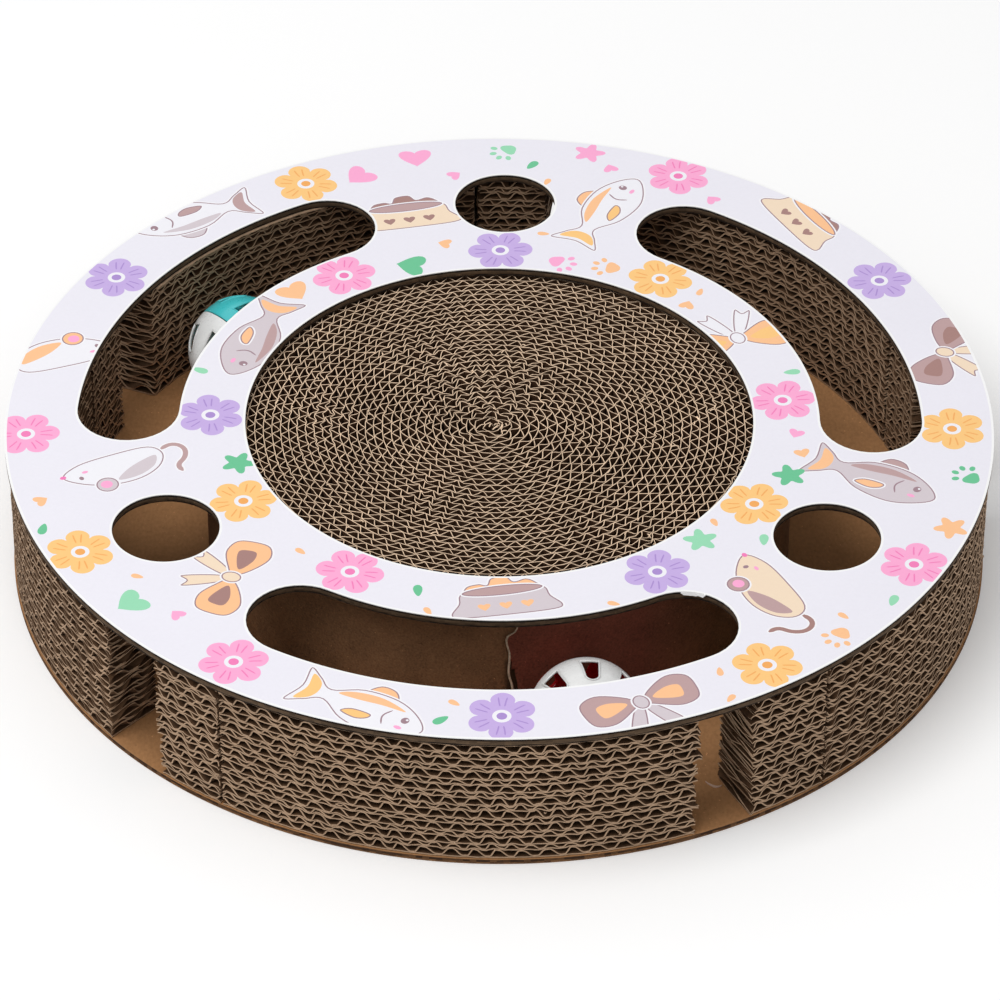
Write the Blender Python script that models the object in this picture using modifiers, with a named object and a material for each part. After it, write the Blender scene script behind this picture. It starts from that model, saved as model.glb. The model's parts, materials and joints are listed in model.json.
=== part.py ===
"""Round cardboard cat scratcher with a covered ball track.

Metres, +Z up. The origin is the middle of the base disc's underside, where the scratcher rests on the floor.
Angles are in degrees, counted anticlockwise from +X as seen from above.
"""

import math

import bmesh
import bpy
import numpy as np
from mathutils import Matrix

# Paper gap that is left between pieces that are glued, rest on or butt against each other
FIT_GAP = 0.0003

# Balls
BALL_RADIUS = 0.01975
BALL_WALL = 0.0015
BALL_SEGMENTS = 24
BALL_RINGS = 6
PETAL_COUNT = 8
PETAL_LENGTH = 0.0100
PETAL_BASE_WIDTH = 0.0058
PETAL_TIP_WIDTH = 0.0042
PETAL_POLAR = 57.5
TIP_SEGMENTS = 4

# Bell in each ball, and the pellet in each bell
BELL_RADIUS = 0.0060
BELL_WALL = 0.0005
BELL_LIFT = 0.0004
BELL_HOLE_RADIUS = 0.0013
BELL_SLOT_WIDTH = 0.0010
BELL_SLOT_LENGTH = 0.0082
BELL_SEGMENTS = 16
BELL_RINGS = 8
PELLET_RADIUS = 0.00175

# Track between the band round the coil and the wall
BAND_OUTER_RADIUS = 0.1030
TRACK_PLAY = 0.0073
BALL_HEADROOM = 0.0096

# Wall blocks, whose sides are grooved where the flutes lie open between the sheets' edges
WALL_DEPTH = 0.0220
GROOVE_COUNT = 8
GROOVE_DEPTH = 0.0025
BLOCK_STEP = 4.9
SECTOR_COUNT = 5
WALL_START_ANGLE = 3.5
WALL_GAP_ANGLE = 8.0
SHORT_BLOCK_ANGLE = 10.0

# Base, top panel and its printed face
BASE_THICKNESS = 0.0020
BASE_INSET = 0.0007
PANEL_THICKNESS = 0.0027
PANEL_OVERHANG = 0.0007
FACE_THICKNESS = 0.0003
OPENING_RADIUS = 0.08875
HOLE_OUTWARD_SHIFT = 0.00345
ROUND_HOLE_LAP = 0.0014
ROUND_HOLE_COUNT = 3
ROUND_HOLE_ANGLE = 89.3
KIDNEY_LAP = 0.0019
KIDNEY_SPAN = 59.3
KIDNEY_ANGLE = 29.0

# Band round the coil, one strip with its end lapped over its beginning
BAND_THICKNESS = 0.0006
BAND_LAP_GAP = 0.0004
BAND_LAP_START = 270.5
BAND_LAP_END = 284.0
BAND_FLAT_END = 286.0
BAND_RAMP_END = 296.0
BAND_STEP = 5.0

# Scratching coil, one strip wound into a spiral whose eye is a little off the middle
COIL_TURNS = 24
COIL_TURN_POINTS = 24
COIL_STRIP_THICKNESS = 0.0032
COIL_EYE_RADIUS = 0.0035
COIL_EYE_SHIFT = -0.0030
COIL_BAND_GAP = 0.0006

# Where the two balls lie, as an angle and how far outward of the track's middle line, and how each is turned: the
# direction of its white half's pole, and its turn about it
BALLS = {
    "ball_a": {"angle": 283.62, "outward": -0.0010, "azimuth": 281.2, "elevation": 35.3, "twist": 38.6},
    "ball_b": {"angle": 138.67, "outward": -0.0011, "azimuth": 222.4, "elevation": -25.1, "twist": 37.0},
}
SECOND_HALF = {"ball_a": "red", "ball_b": "teal"}

# Steps of round outlines
DISC_SEGMENTS = 96
OPENING_SEGMENTS = 72
HOLE_SEGMENTS = 24
ARC_STEP = 3.6
END_SEGMENTS = 8

# Sizes that follow from those above
WALL_HEIGHT = 2 * BALL_RADIUS + BALL_HEADROOM
WALL_INNER_RADIUS = BAND_OUTER_RADIUS + 2 * BALL_RADIUS + TRACK_PLAY
WALL_OUTER_RADIUS = WALL_INNER_RADIUS + WALL_DEPTH
PANEL_RADIUS = WALL_OUTER_RADIUS + PANEL_OVERHANG
BASE_RADIUS = PANEL_RADIUS - BASE_INSET
SEAT_Z = BASE_THICKNESS + FIT_GAP
PANEL_Z = SEAT_Z + WALL_HEIGHT + FIT_GAP
FACE_Z = PANEL_Z + PANEL_THICKNESS + FIT_GAP
TRACK_MIDDLE_RADIUS = (BAND_OUTER_RADIUS + WALL_INNER_RADIUS) / 2
HOLE_RING_RADIUS = TRACK_MIDDLE_RADIUS + HOLE_OUTWARD_SHIFT
ROUND_HOLE_RADIUS = BALL_RADIUS - ROUND_HOLE_LAP
KIDNEY_HALF_WIDTH = BALL_RADIUS - KIDNEY_LAP
BALL_INNER_RADIUS = BALL_RADIUS - BALL_WALL
BALL_Z = SEAT_Z + BALL_RADIUS
BELL_INNER_RADIUS = BELL_RADIUS - BELL_WALL
BELL_DROP = BALL_INNER_RADIUS - BELL_RADIUS - BELL_LIFT
PELLET_DROP = BELL_INNER_RADIUS - PELLET_RADIUS - FIT_GAP


def clear_scene():
    for obj in list(bpy.data.objects):
        bpy.data.objects.remove(obj, do_unlink=True)


def new_collection(name):
    collection = bpy.data.collections.new(name)
    bpy.context.scene.collection.children.link(collection)
    return collection


def new_material(name, color, roughness, metallic=0.0):
    material = bpy.data.materials.new(name)
    material.use_nodes = True
    shader = material.node_tree.nodes["Principled BSDF"]
    shader.inputs["Base Color"].default_value = (*color, 1.0)
    shader.inputs["Roughness"].default_value = roughness
    shader.inputs["Metallic"].default_value = metallic
    return material


def add_object(name, data, collection, material, parent=None):
    obj = bpy.data.objects.new(name, data)
    collection.objects.link(obj)
    obj.parent = parent
    if not data.materials:
        data.materials.append(material)
    obj.material_slots[0].link = "OBJECT"
    obj.material_slots[0].material = material
    return obj


def add_empty(name, collection, location, parent=None):
    empty = bpy.data.objects.new(name, None)
    empty.empty_display_size = BALL_RADIUS
    collection.objects.link(empty)
    empty.location = location
    empty.parent = parent
    return empty


def smooth(mesh, sharp_angle):
    mesh.shade_smooth()
    mesh.set_sharp_from_angle(angle=math.radians(sharp_angle))


def polar(radius, angle):
    return radius * math.cos(math.radians(angle)), radius * math.sin(math.radians(angle))


def arc(radius, start, end, segments, centre=(0.0, 0.0)):
    """Points from the start angle to the end angle, both included."""
    points = []
    for index in range(segments + 1):
        x, y = polar(radius, start + (end - start) * index / segments)
        points.append((centre[0] + x, centre[1] + y))
    return points


def circle(radius, segments, centre=(0.0, 0.0)):
    return arc(radius, 0.0, 360.0, segments, centre)[:-1]


def arc_segments(span, step=ARC_STEP):
    return max(2, math.ceil(abs(span) / step))


def poly_curve(name, outlines, cyclic):
    """A flat curve of straight runs through each list of points."""
    curve = bpy.data.curves.new(name, "CURVE")
    curve.dimensions = "2D"
    for outline in outlines:
        spline = curve.splines.new("POLY")
        spline.points.add(len(outline) - 1)
        for point, (x, y) in zip(spline.points, outline):
            point.co = (x, y, 0.0, 1.0)
        spline.use_cyclic_u = cyclic
    return curve


def plate_curve(name, outlines, thickness):
    """A flat plate: the first outline is its edge, and the others are its holes."""
    curve = poly_curve(name, outlines, cyclic=True)
    curve.fill_mode = "BOTH"
    curve.extrude = thickness / 2
    return curve


def mesh_of(obj):
    """The evaluated mesh of an object, with its caps welded."""
    graph = bpy.context.evaluated_depsgraph_get()
    mesh = bpy.data.meshes.new_from_object(obj.evaluated_get(graph), depsgraph=graph)
    bm = bmesh.new()
    bm.from_mesh(mesh)
    bmesh.ops.remove_doubles(bm, verts=bm.verts, dist=0.00001)
    bm.to_mesh(mesh)
    bm.free()
    return mesh


def add_plate(name, outlines, low_z, thickness, collection, material):
    plate = add_object(name, plate_curve(name, outlines, thickness), collection, material)
    plate.location.z = low_z + thickness / 2
    return plate


def add_strip(name, points, thickness, collection, material):
    """An upright strip that stands on the base and follows the points."""
    curve = poly_curve(name, [points], cyclic=False)
    curve.fill_mode = "NONE"
    curve.extrude = WALL_HEIGHT / 2
    guide = add_object(name + "_path", curve, collection, material)
    strip = add_object(name, mesh_of(guide), collection, material)
    bpy.data.objects.remove(guide)
    strip.location.z = SEAT_Z + WALL_HEIGHT / 2
    thick = strip.modifiers.new("thickness", "SOLIDIFY")
    thick.thickness = thickness
    thick.offset = 0.0
    return strip


def make_base(collection):
    material = new_material("base_kraft", (0.21, 0.11, 0.045), 0.9)
    outlines = [circle(BASE_RADIUS, DISC_SEGMENTS)]
    add_plate("base_disc", outlines, 0.0, BASE_THICKNESS, collection, material)


def block_side(radius, groove_depth):
    """Up one side of a block: crests at the radius given, and between them the bottoms of the grooves."""
    last = 2 * GROOVE_COUNT
    return [(radius + groove_depth * (index % 2), WALL_HEIGHT * index / last) for index in range(last + 1)]


def block_mesh(name, span):
    """A block's section, spun through its angle from +X."""
    outer = block_side(WALL_OUTER_RADIUS, -GROOVE_DEPTH)
    inner = block_side(WALL_INNER_RADIUS, GROOVE_DEPTH)
    bm = bmesh.new()
    corners = [bm.verts.new((radius, 0.0, height)) for radius, height in outer + inner[::-1]]
    section = bm.faces.new(corners)
    bmesh.ops.spin(
        bm,
        geom=[*corners, *section.edges, section],
        axis=(0.0, 0.0, 1.0),
        angle=math.radians(span),
        steps=arc_segments(span, BLOCK_STEP),
    )
    bmesh.ops.recalc_face_normals(bm, faces=bm.faces)
    mesh = bpy.data.meshes.new(name)
    bm.to_mesh(mesh)
    bm.free()
    return mesh


def make_wall(collection):
    """Each sector of the wall is a gap, a short block and a long block butted against it."""
    material = new_material("corrugated_board", (0.19, 0.125, 0.075), 0.92)
    sector = 360.0 / SECTOR_COUNT
    seam = math.degrees(FIT_GAP / WALL_INNER_RADIUS)
    long_angle = sector - WALL_GAP_ANGLE - SHORT_BLOCK_ANGLE - seam
    short_mesh = block_mesh("wall_block_short", SHORT_BLOCK_ANGLE)
    long_mesh = block_mesh("wall_block_long", long_angle)
    for index in range(SECTOR_COUNT):
        short_start = WALL_START_ANGLE + sector * index + WALL_GAP_ANGLE
        long_start = short_start + SHORT_BLOCK_ANGLE + seam
        for kind, mesh, start in (("short", short_mesh, short_start), ("long", long_mesh, long_start)):
            block = add_object(f"wall_block_{kind}_{index + 1}", mesh, collection, material)
            block.location.z = SEAT_Z
            block.rotation_euler.z = math.radians(start)


def kidney_outline(middle_angle):
    """A slot along the track with round ends."""
    first = middle_angle - KIDNEY_SPAN / 2
    last = middle_angle + KIDNEY_SPAN / 2
    steps = arc_segments(KIDNEY_SPAN)
    outer = arc(HOLE_RING_RADIUS + KIDNEY_HALF_WIDTH, first, last, steps)
    far_end = arc(KIDNEY_HALF_WIDTH, last, last + 180.0, END_SEGMENTS, polar(HOLE_RING_RADIUS, last))
    inner = arc(HOLE_RING_RADIUS - KIDNEY_HALF_WIDTH, last, first, steps)
    near_end = arc(KIDNEY_HALF_WIDTH, first + 180.0, first + 360.0, END_SEGMENTS, polar(HOLE_RING_RADIUS, first))
    return outer + far_end[1:-1] + inner + near_end[1:-1]


def panel_outlines():
    outlines = [circle(PANEL_RADIUS, DISC_SEGMENTS), circle(OPENING_RADIUS, OPENING_SEGMENTS)]
    step = 360.0 / ROUND_HOLE_COUNT
    for index in range(ROUND_HOLE_COUNT):
        centre = polar(HOLE_RING_RADIUS, ROUND_HOLE_ANGLE + step * index)
        outlines.append(circle(ROUND_HOLE_RADIUS, HOLE_SEGMENTS, centre))
        outlines.append(kidney_outline(KIDNEY_ANGLE + step * index))
    return outlines


def make_panel(collection):
    board = new_material("panel_board", (0.22, 0.12, 0.06), 0.9)
    paper = new_material("printed_paper", (0.66, 0.52, 0.78), 0.55)
    add_plate("top_panel", panel_outlines(), PANEL_Z, PANEL_THICKNESS, collection, board)
    add_plate("printed_face", panel_outlines(), FACE_Z, FACE_THICKNESS, collection, paper)


def band_points():
    """The middle line of the band, from the free end of the flap to the hidden inner end."""
    base_radius = BAND_OUTER_RADIUS - BAND_THICKNESS / 2
    flap_radius = base_radius + BAND_THICKNESS + BAND_LAP_GAP
    flap = arc(flap_radius, BAND_LAP_START, BAND_FLAT_END, arc_segments(BAND_FLAT_END - BAND_LAP_START))
    ramp_middle = polar((flap_radius + base_radius) / 2, (BAND_FLAT_END + BAND_RAMP_END) / 2)
    around = BAND_LAP_END + 360.0 - BAND_RAMP_END
    body = arc(base_radius, BAND_RAMP_END, BAND_RAMP_END + around, math.ceil(around / BAND_STEP))
    return flap + [ramp_middle] + body


def make_band(collection):
    material = new_material("kraft_paper", (0.10, 0.06, 0.03), 0.85)
    add_strip("inner_band", band_points(), BAND_THICKNESS, collection, material)


def coil_points():
    """The middle line of the coil's strip: a steady spiral, with the eye's shift fading out to the last turn."""
    first_radius = COIL_EYE_RADIUS + COIL_STRIP_THICKNESS / 2
    last_radius = BAND_OUTER_RADIUS - BAND_THICKNESS - COIL_BAND_GAP - COIL_STRIP_THICKNESS / 2
    count = COIL_TURNS * COIL_TURN_POINTS
    points = []
    for index in range(count + 1):
        share = index / count
        x, y = polar(first_radius + (last_radius - first_radius) * share, 360.0 * COIL_TURNS * share)
        points.append((x + COIL_EYE_SHIFT * (1.0 - share), y))
    return points


def least_gap(points, thickness):
    """Least clear space between the strip's turns: each point against each run over half a turn away."""
    line = np.array(points)
    starts = line[:-1]
    runs = line[1:] - starts
    offset = line[:, None, :] - starts[None, :, :]
    along = np.clip((offset * runs).sum(axis=2) / (runs * runs).sum(axis=1), 0.0, 1.0)
    distance = np.linalg.norm(offset - along[:, :, None] * runs, axis=2)
    apart = np.abs(np.arange(len(line))[:, None] - np.arange(len(starts))[None, :])
    distance[apart <= COIL_TURN_POINTS // 2] = np.inf
    corner_widening = 1.0 / math.cos(math.pi / COIL_TURN_POINTS)
    return float(distance.min()) - thickness * corner_widening


def make_coil(collection):
    material = new_material("coil_board", (0.42, 0.27, 0.14), 0.92)
    points = coil_points()
    add_strip("scratch_coil", points, COIL_STRIP_THICKNESS, collection, material)
    gap = least_gap(points, COIL_STRIP_THICKNESS)
    print(f"scratch_coil: least gap between turns {gap * 1000:.2f} mm on {len(points)} points")


def turned_mesh(name, profile, segments, helpers, material):
    """A closed shell turned about Z from points that run down its outer side."""
    mesh = bpy.data.meshes.new(name)
    edges = [(index, index + 1) for index in range(len(profile) - 1)]
    mesh.from_pydata([(x, 0.0, z) for x, z in profile], edges, [])
    pattern = add_object(name + "_profile", mesh, helpers, material)
    turn = pattern.modifiers.new("turn", "SCREW")
    turn.steps = segments
    turn.render_steps = segments
    turn.use_merge_vertices = True
    turn.merge_threshold = 0.00001
    turned = mesh_of(pattern)
    bpy.data.objects.remove(pattern)
    return turned


def cut_mesh(name, solid, cutter_mesh, helpers, material):
    """The solid less the cutter, as a new mesh."""
    cutter = add_object(name + "_cutter", cutter_mesh, helpers, material)
    cutter.hide_render = True
    cutter.display_type = "WIRE"
    pattern = add_object(name + "_pattern", solid, helpers, material)
    cut = pattern.modifiers.new("cut", "BOOLEAN")
    cut.operation = "DIFFERENCE"
    cut.object = cutter
    result = mesh_of(pattern)
    bpy.data.objects.remove(pattern)
    return result


def petal_outline():
    """A slot in the ball's shell: a flat edge at the bottom, sides drawn in a little, and a round tip."""
    half_base = PETAL_BASE_WIDTH / 2
    half_tip = PETAL_TIP_WIDTH / 2
    tip_centre = (0.0, PETAL_LENGTH / 2 - half_tip)
    tip = arc(half_tip, 0.0, 180.0, TIP_SEGMENTS, tip_centre)
    return [(-half_base, -PETAL_LENGTH / 2), (half_base, -PETAL_LENGTH / 2)] + tip


def petal_cutters(helpers, material):
    """One prism for each slot, spread round the half shell's axis."""
    depth = 3 * BALL_WALL
    guide = add_object("petal_guide", plate_curve("petal", [petal_outline()], depth), helpers, material)
    prism = mesh_of(guide)
    bpy.data.objects.remove(guide)
    outward = Matrix.Translation((0.0, 0.0, BALL_RADIUS - BALL_WALL / 2))
    # The outline's top points at the pole once its plane faces along +X
    upright = Matrix.Rotation(math.radians(90.0), 4, "Z")
    tilt = Matrix.Rotation(math.radians(PETAL_POLAR), 4, "Y")
    bm = bmesh.new()
    for index in range(PETAL_COUNT):
        around = Matrix.Rotation(2 * math.pi * index / PETAL_COUNT, 4, "Z")
        copy = prism.copy()
        copy.transform(around @ tilt @ outward @ upright)
        bm.from_mesh(copy)
        bpy.data.meshes.remove(copy)
    cutters = bpy.data.meshes.new("petal_cutters")
    bm.to_mesh(cutters)
    bm.free()
    return cutters


def half_shell_mesh(helpers, material):
    """Half a hollow ball about +Z, with its slots. All four halves share it."""
    rim = FIT_GAP / 2
    outer_start = math.degrees(math.asin(rim / BALL_RADIUS))
    inner_start = math.degrees(math.asin(rim / BALL_INNER_RADIUS))
    outer = arc(BALL_RADIUS, 90.0, outer_start, BALL_RINGS)
    inner = arc(BALL_INNER_RADIUS, inner_start, 90.0, BALL_RINGS)
    shell = turned_mesh("half_shell", outer + inner, BALL_SEGMENTS, helpers, material)
    cut = cut_mesh("half_shell", shell, petal_cutters(helpers, material), helpers, material)
    smooth(cut, 40.0)
    return cut


def bell_mesh(helpers, material):
    """A thin hollow sphere with a round hole in its underside and a sound slot across the hole."""
    outer_end = math.degrees(math.asin(BELL_HOLE_RADIUS / BELL_RADIUS)) - 90.0
    inner_start = math.degrees(math.asin(BELL_HOLE_RADIUS / BELL_INNER_RADIUS)) - 90.0
    outer = arc(BELL_RADIUS, 90.0, outer_end, BELL_RINGS)
    inner = arc(BELL_INNER_RADIUS, inner_start, 90.0, BELL_RINGS)
    shell = turned_mesh("bell_shell", outer + inner, BELL_SEGMENTS, helpers, material)
    bm = bmesh.new()
    bmesh.ops.create_cube(bm, size=1.0)
    bmesh.ops.scale(bm, verts=bm.verts, vec=(BELL_SLOT_LENGTH, BELL_SLOT_WIDTH, BELL_RADIUS))
    bmesh.ops.translate(bm, verts=bm.verts, vec=(0.0, 0.0, -BELL_RADIUS))
    slot = bpy.data.meshes.new("bell_slot")
    bm.to_mesh(slot)
    bm.free()
    cut = cut_mesh("bell", shell, slot, helpers, material)
    smooth(cut, 40.0)
    return cut


def pellet_mesh():
    bm = bmesh.new()
    bmesh.ops.create_uvsphere(bm, u_segments=10, v_segments=6, radius=PELLET_RADIUS)
    mesh = bpy.data.meshes.new("pellet")
    bm.to_mesh(mesh)
    bm.free()
    mesh.shade_smooth()
    return mesh


def pole_turn(azimuth, elevation, twist):
    """Turns +Z to the given direction, after a turn about itself."""
    about_up = Matrix.Rotation(math.radians(azimuth), 4, "Z")
    lean = Matrix.Rotation(math.radians(90.0 - elevation), 4, "Y")
    return about_up @ lean @ Matrix.Rotation(math.radians(twist), 4, "Z")


def make_balls(collection, helpers):
    """Each ball circles the coil on its orbit empty and rolls about its own centre. Its bell only circles."""
    plastic = {
        "white": new_material("white_plastic", (0.80, 0.80, 0.78), 0.35),
        "red": new_material("dark_red_plastic", (0.30, 0.012, 0.02), 0.35),
        "teal": new_material("teal_plastic", (0.0, 0.33, 0.36), 0.35),
    }
    steel = new_material("bell_steel", (0.62, 0.60, 0.56), 0.3, metallic=1.0)
    half_shell = half_shell_mesh(helpers, plastic["white"])
    bell = bell_mesh(helpers, steel)
    pellet = pellet_mesh()
    for name, place in BALLS.items():
        x, y = polar(TRACK_MIDDLE_RADIUS + place["outward"], place["angle"])
        orbit = add_empty(name + "_orbit", collection, (0.0, 0.0, 0.0))
        centre = add_empty(name + "_centre", collection, (x, y, BALL_Z), parent=orbit)
        turn = pole_turn(place["azimuth"], place["elevation"], place["twist"])
        second = SECOND_HALF[name]
        first_half = add_object(f"{name}_white_half", half_shell, collection, plastic["white"], parent=centre)
        first_half.rotation_euler = turn.to_euler()
        second_half = add_object(f"{name}_{second}_half", half_shell, collection, plastic[second], parent=centre)
        second_half.rotation_euler = (turn @ Matrix.Rotation(math.pi, 4, "X")).to_euler()
        bell_body = add_object(f"{name}_bell", bell, collection, steel, parent=orbit)
        bell_body.location = (x, y, BALL_Z - BELL_DROP)
        pellet_body = add_object(f"{name}_pellet", pellet, collection, steel, parent=orbit)
        pellet_body.location = (x, y, BALL_Z - BELL_DROP - PELLET_DROP)


def main():
    clear_scene()
    collection = new_collection("cat_scratcher")
    helpers = new_collection("cutters")
    make_base(collection)
    make_wall(collection)
    make_band(collection)
    make_coil(collection)
    make_panel(collection)
    make_balls(collection, helpers)


main()
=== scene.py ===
"""Looks of a round cardboard cat scratcher with a covered ball track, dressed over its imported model.

Metres, +Z up. The origin is the middle of the underside. Angles are in degrees, anticlockwise from +X.
"""

import json
import math
import random
from functools import partial

import bmesh
import bpy
import numpy as np
from mathutils import Matrix, Vector
from mathutils.geometry import delaunay_2d_cdt


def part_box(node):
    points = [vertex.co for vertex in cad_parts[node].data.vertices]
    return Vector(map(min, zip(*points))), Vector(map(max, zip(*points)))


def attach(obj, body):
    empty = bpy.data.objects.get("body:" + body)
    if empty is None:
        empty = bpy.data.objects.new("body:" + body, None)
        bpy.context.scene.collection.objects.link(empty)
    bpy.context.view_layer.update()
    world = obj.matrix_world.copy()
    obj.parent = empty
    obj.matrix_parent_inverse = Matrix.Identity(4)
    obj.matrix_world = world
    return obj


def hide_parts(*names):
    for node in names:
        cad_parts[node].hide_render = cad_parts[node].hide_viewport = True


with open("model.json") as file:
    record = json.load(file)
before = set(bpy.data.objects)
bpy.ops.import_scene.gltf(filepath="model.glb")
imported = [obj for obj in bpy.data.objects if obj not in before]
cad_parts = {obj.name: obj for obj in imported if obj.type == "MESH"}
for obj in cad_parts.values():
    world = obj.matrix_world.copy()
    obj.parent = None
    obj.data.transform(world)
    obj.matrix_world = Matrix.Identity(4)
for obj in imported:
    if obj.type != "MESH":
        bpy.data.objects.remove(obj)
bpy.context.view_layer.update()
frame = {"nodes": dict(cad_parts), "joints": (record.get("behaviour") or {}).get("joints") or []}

# Camera: where it aims, how far off it stands, and its tilt
CAMERA_AIM = (0.0004, 0.0, 0.0179)
CAMERA_DISTANCE = 1.8866
CAMERA_ELEVATION = 38.20
CAMERA_ROLL = 0.33
CAMERA_LENS = 191.96
CAMERA_SENSOR = 36.0
CAMERA_REACH = (0.05, 50.0)

# Light: the floor also gives off a little of its own, to the camera alone
WORLD_STRENGTH = 0.50
KEY_POWER = 27.0
KEY_SIZE = 1.5
KEY_PLACE = (-0.65, -0.50, 2.0)
KEY_AIM = (0.0, 0.0, 0.02)
FLOOR_RADIUS = 6.0
FLOOR_WHITE = 0.94
FLOOR_GLOW = 0.13
FLOOR_DROP = 0.0002

# Balls: the direction of the white half's pole, the turn about it, and what the other half is made of
BALLS = {
    "a": {"azimuth": 279.6, "elevation": 35.3, "twist": 38.6, "second": "red", "second_size": 0.985},
    "b": {"azimuth": 222.4, "elevation": -25.1, "twist": 37.0, "second": "teal", "second_size": 1.0},
}
BALL_RADIUS = 0.01975
BALL_WALL = 0.0008
BALL_SEAM = 0.0003
PETAL_COUNT = 8
PETAL_LENGTH = 0.0106
PETAL_BASE_WIDTH = 0.0068
PETAL_TIP_WIDTH = 0.0050
PETAL_POLAR = 57.5
LIP_RADIUS = 0.00042
LIP_SINK = 0.45
RIM_BEVEL = 0.0003
PLASTIC_GLOW_DEPTH = 0.0015
BELL_RADIUS = 0.0060
BELL_WALL = 0.0005
BELL_HOLE_RADIUS = 0.0013
BELL_SLOT = (0.0082, 0.0010)
BELL_RIDGE = (0.00018, 0.0002)
PELLET_RADIUS = 0.00175

# Holes of the top panel
OPENING_RADIUS = 0.08875
HOLE_RING_RADIUS = 0.12985
ROUND_HOLE_RADIUS = 0.01835
ROUND_HOLE_ANGLE = 89.3
KIDNEY_HALF_WIDTH = 0.01785
KIDNEY_SPAN = 59.3
KIDNEY_ANGLE = 29.0
HOLE_REPEATS = 3

# Shred of paper that lies on the base in the gap at the front right
SHRED_RADIUS = 0.1522
SHRED_ANGLE = 298.6
SHRED_PATH = ((-2.9, 1.3), (0.3, -1.3), (2.7, -0.4))
SHRED_WIDTH = 0.00032
SHRED_END_WIDTH = 0.00012
SHRED_THICKNESS = 0.0003
SHRED_STEPS = 8

# Board paper: the noise level where flecks start, and how strongly fibres and flecks tell
DARK_FLECK = (0.70, 0.35)
PALE_FLECK = (0.23, 2.0)
FIBRE_STRENGTH = 1.5
FIBRE_STRETCH = (1.0, 0.6, 1.0)
BOARD_BUMP = 0.00012

# Each board: colours of its faces and cut edges, the attribute that marks the edges, fibre scale, contrast
BOARDS = {
    "wall_board": ((84, 60, 40), (178, 149, 122), "cut_side", 900.0, 0.5),
    "coil_board": ((74, 49, 31), (236, 206, 175), "cut_top", 900.0, 0.5),
    "base_board": ((170, 124, 82), (60, 40, 26), "edge", 900.0, 0.35),
    "panel_board": ((100, 80, 60), (26, 17, 12), "edge", 600.0, 0.4),
    "band_paper": ((136, 100, 70), (210, 190, 164), "torn", 1300.0, 0.8),
    "torn_paper": ((206, 176, 156), (206, 176, 156), "torn", 900.0, 0.2),
}

# The other materials: the scale of each noise in them, how strongly it tells, and the height of their bumps
PRINT_GRAIN = (900.0, 0.05)
PRINT_CLOUD = (30.0, 0.03)
PRINT_BUMP = 0.00003
PLASTIC_COLOURS = {"white": (243, 244, 243), "red": (196, 10, 24), "teal": (70, 200, 204)}
PLASTIC_GLOW = {"white": 0.4}
PLASTIC_ROUGHNESS = 0.28
PLASTIC_FLOW = (120.0, 0.03)
PLASTIC_SCUFF = (900.0, 0.06)
PLASTIC_BUMP = 0.000001
STEEL_COLOUR = (205, 200, 190)
STEEL_BRUSH = (1500.0, 0.3)

# Corrugated board of the wall. Slants, shifts and ragged ends are in degrees, and a wander is a noise's scale
# and its size in waves.
FLUTE_LAYERS = 17
WALL_SHEETS = {"Tall Share": 0.60, "Tall Pitch": 0.0080, "Short Pitch": 0.0064, "Paper": 0.00050,
               "Crush": 0.0010, "Give": 0.00045, "Fan": 0.0016}
WALL_FREE_END = {"Slant": 8.5, "Shift": 0.0, "Ragged": 4.5}
WALL_GAP_END = {"Slant": 0.0, "Shift": 0.0, "Ragged": 4.0}
WALL_BUTT_END = {"Slant": 0.0, "Shift": -0.12, "Ragged": 1.2}
WALL_GIVE_SPREAD = 3.0
WALL_FAN_FADE = 160.0
WALL_STRAY_SCALE = 110.0
WALL_BROAD_SCALE = 18.0
WALL_WANDER = (30.0, 0.9)
WALL_CORNER_STRAY = 0.05
SHORT_LEAN = 22.0
SHORT_ROWS = 7
WIDE_GAP_BLOCK = "wall_block_short_4"
WIDE_GAP_SHIFT = -1.2
WALL_LINER_STEP = 0.0012
# The top liner of REACHING_BLOCK reaches in past the panel's edge, and all of it is painted in the pale cut
# colour: a painted highlight for the light that catches it.
TOP_LINER_REACH = 0.0034
REACHING_BLOCK = "wall_block_long_2"
WALL_LEAST_DEPTH = 0.0002
NICK_SCALE = 260.0
NICK_INNER = 0.0006
NICK_OUTER = 0.0008
NICK_TOP = 0.0012
WALL_CURLS = 10
WALL_CURL_LENGTH = 0.0018
WALL_SLOPE_STEP = 0.0002
WAVE_POINTS = 13
WALL_WAVE_FLAT = 1.0
WAVE_SHARPNESS = 0.93
WAVE_SKEW = 0.30
WAVE_GAIN = 0.38
CURL_WIDTH = 0.00045
CURL_THICKNESS = 0.00016
CURL_ARCH = 0.0005

# Wound board of the coil
COIL_SHEETS = {"Turns": 32.0, "Inner Radius": 0.0010, "Eye Shift": -0.0030, "Paper": 0.00029,
               "Flute Pitch": 0.0055, "Wobble": 0.0018, "Give": 0.0017}
COIL_WAVE_FLAT = 0.15
COIL_FLUTE_POINTS = 7
COIL_LINER_STEP = 0.0022
COIL_WANDER = (22.0, 1.3)
COIL_WOBBLE_SCALE = 75.0
COIL_RIM_FADE = 60.0
COIL_CRUMPLE = 0.0042
COIL_CRUMPLE_SCALE = 240.0
COIL_CRUMPLE_FADE = 190.0
COIL_UPRIGHT = 0.012
COIL_DIP = 0.0011
COIL_DIP_SCALE = 260.0
COIL_PATCH = (-0.003, 0.022)
COIL_PATCH_SPREAD = 2200.0
COIL_PATCH_GAIN = 1.4
COIL_PATCH_NOISE = (26.0, 5.0)
COIL_SLOPE_STEP = 0.0001
COIL_CURLS = 52
COIL_CURL_LENGTH = 0.0022
COIL_CURL_DROP = 0.0008
COIL_EYE_CURLS = 9
COIL_CURL_SPREAD = (0.035, 0.93)

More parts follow.
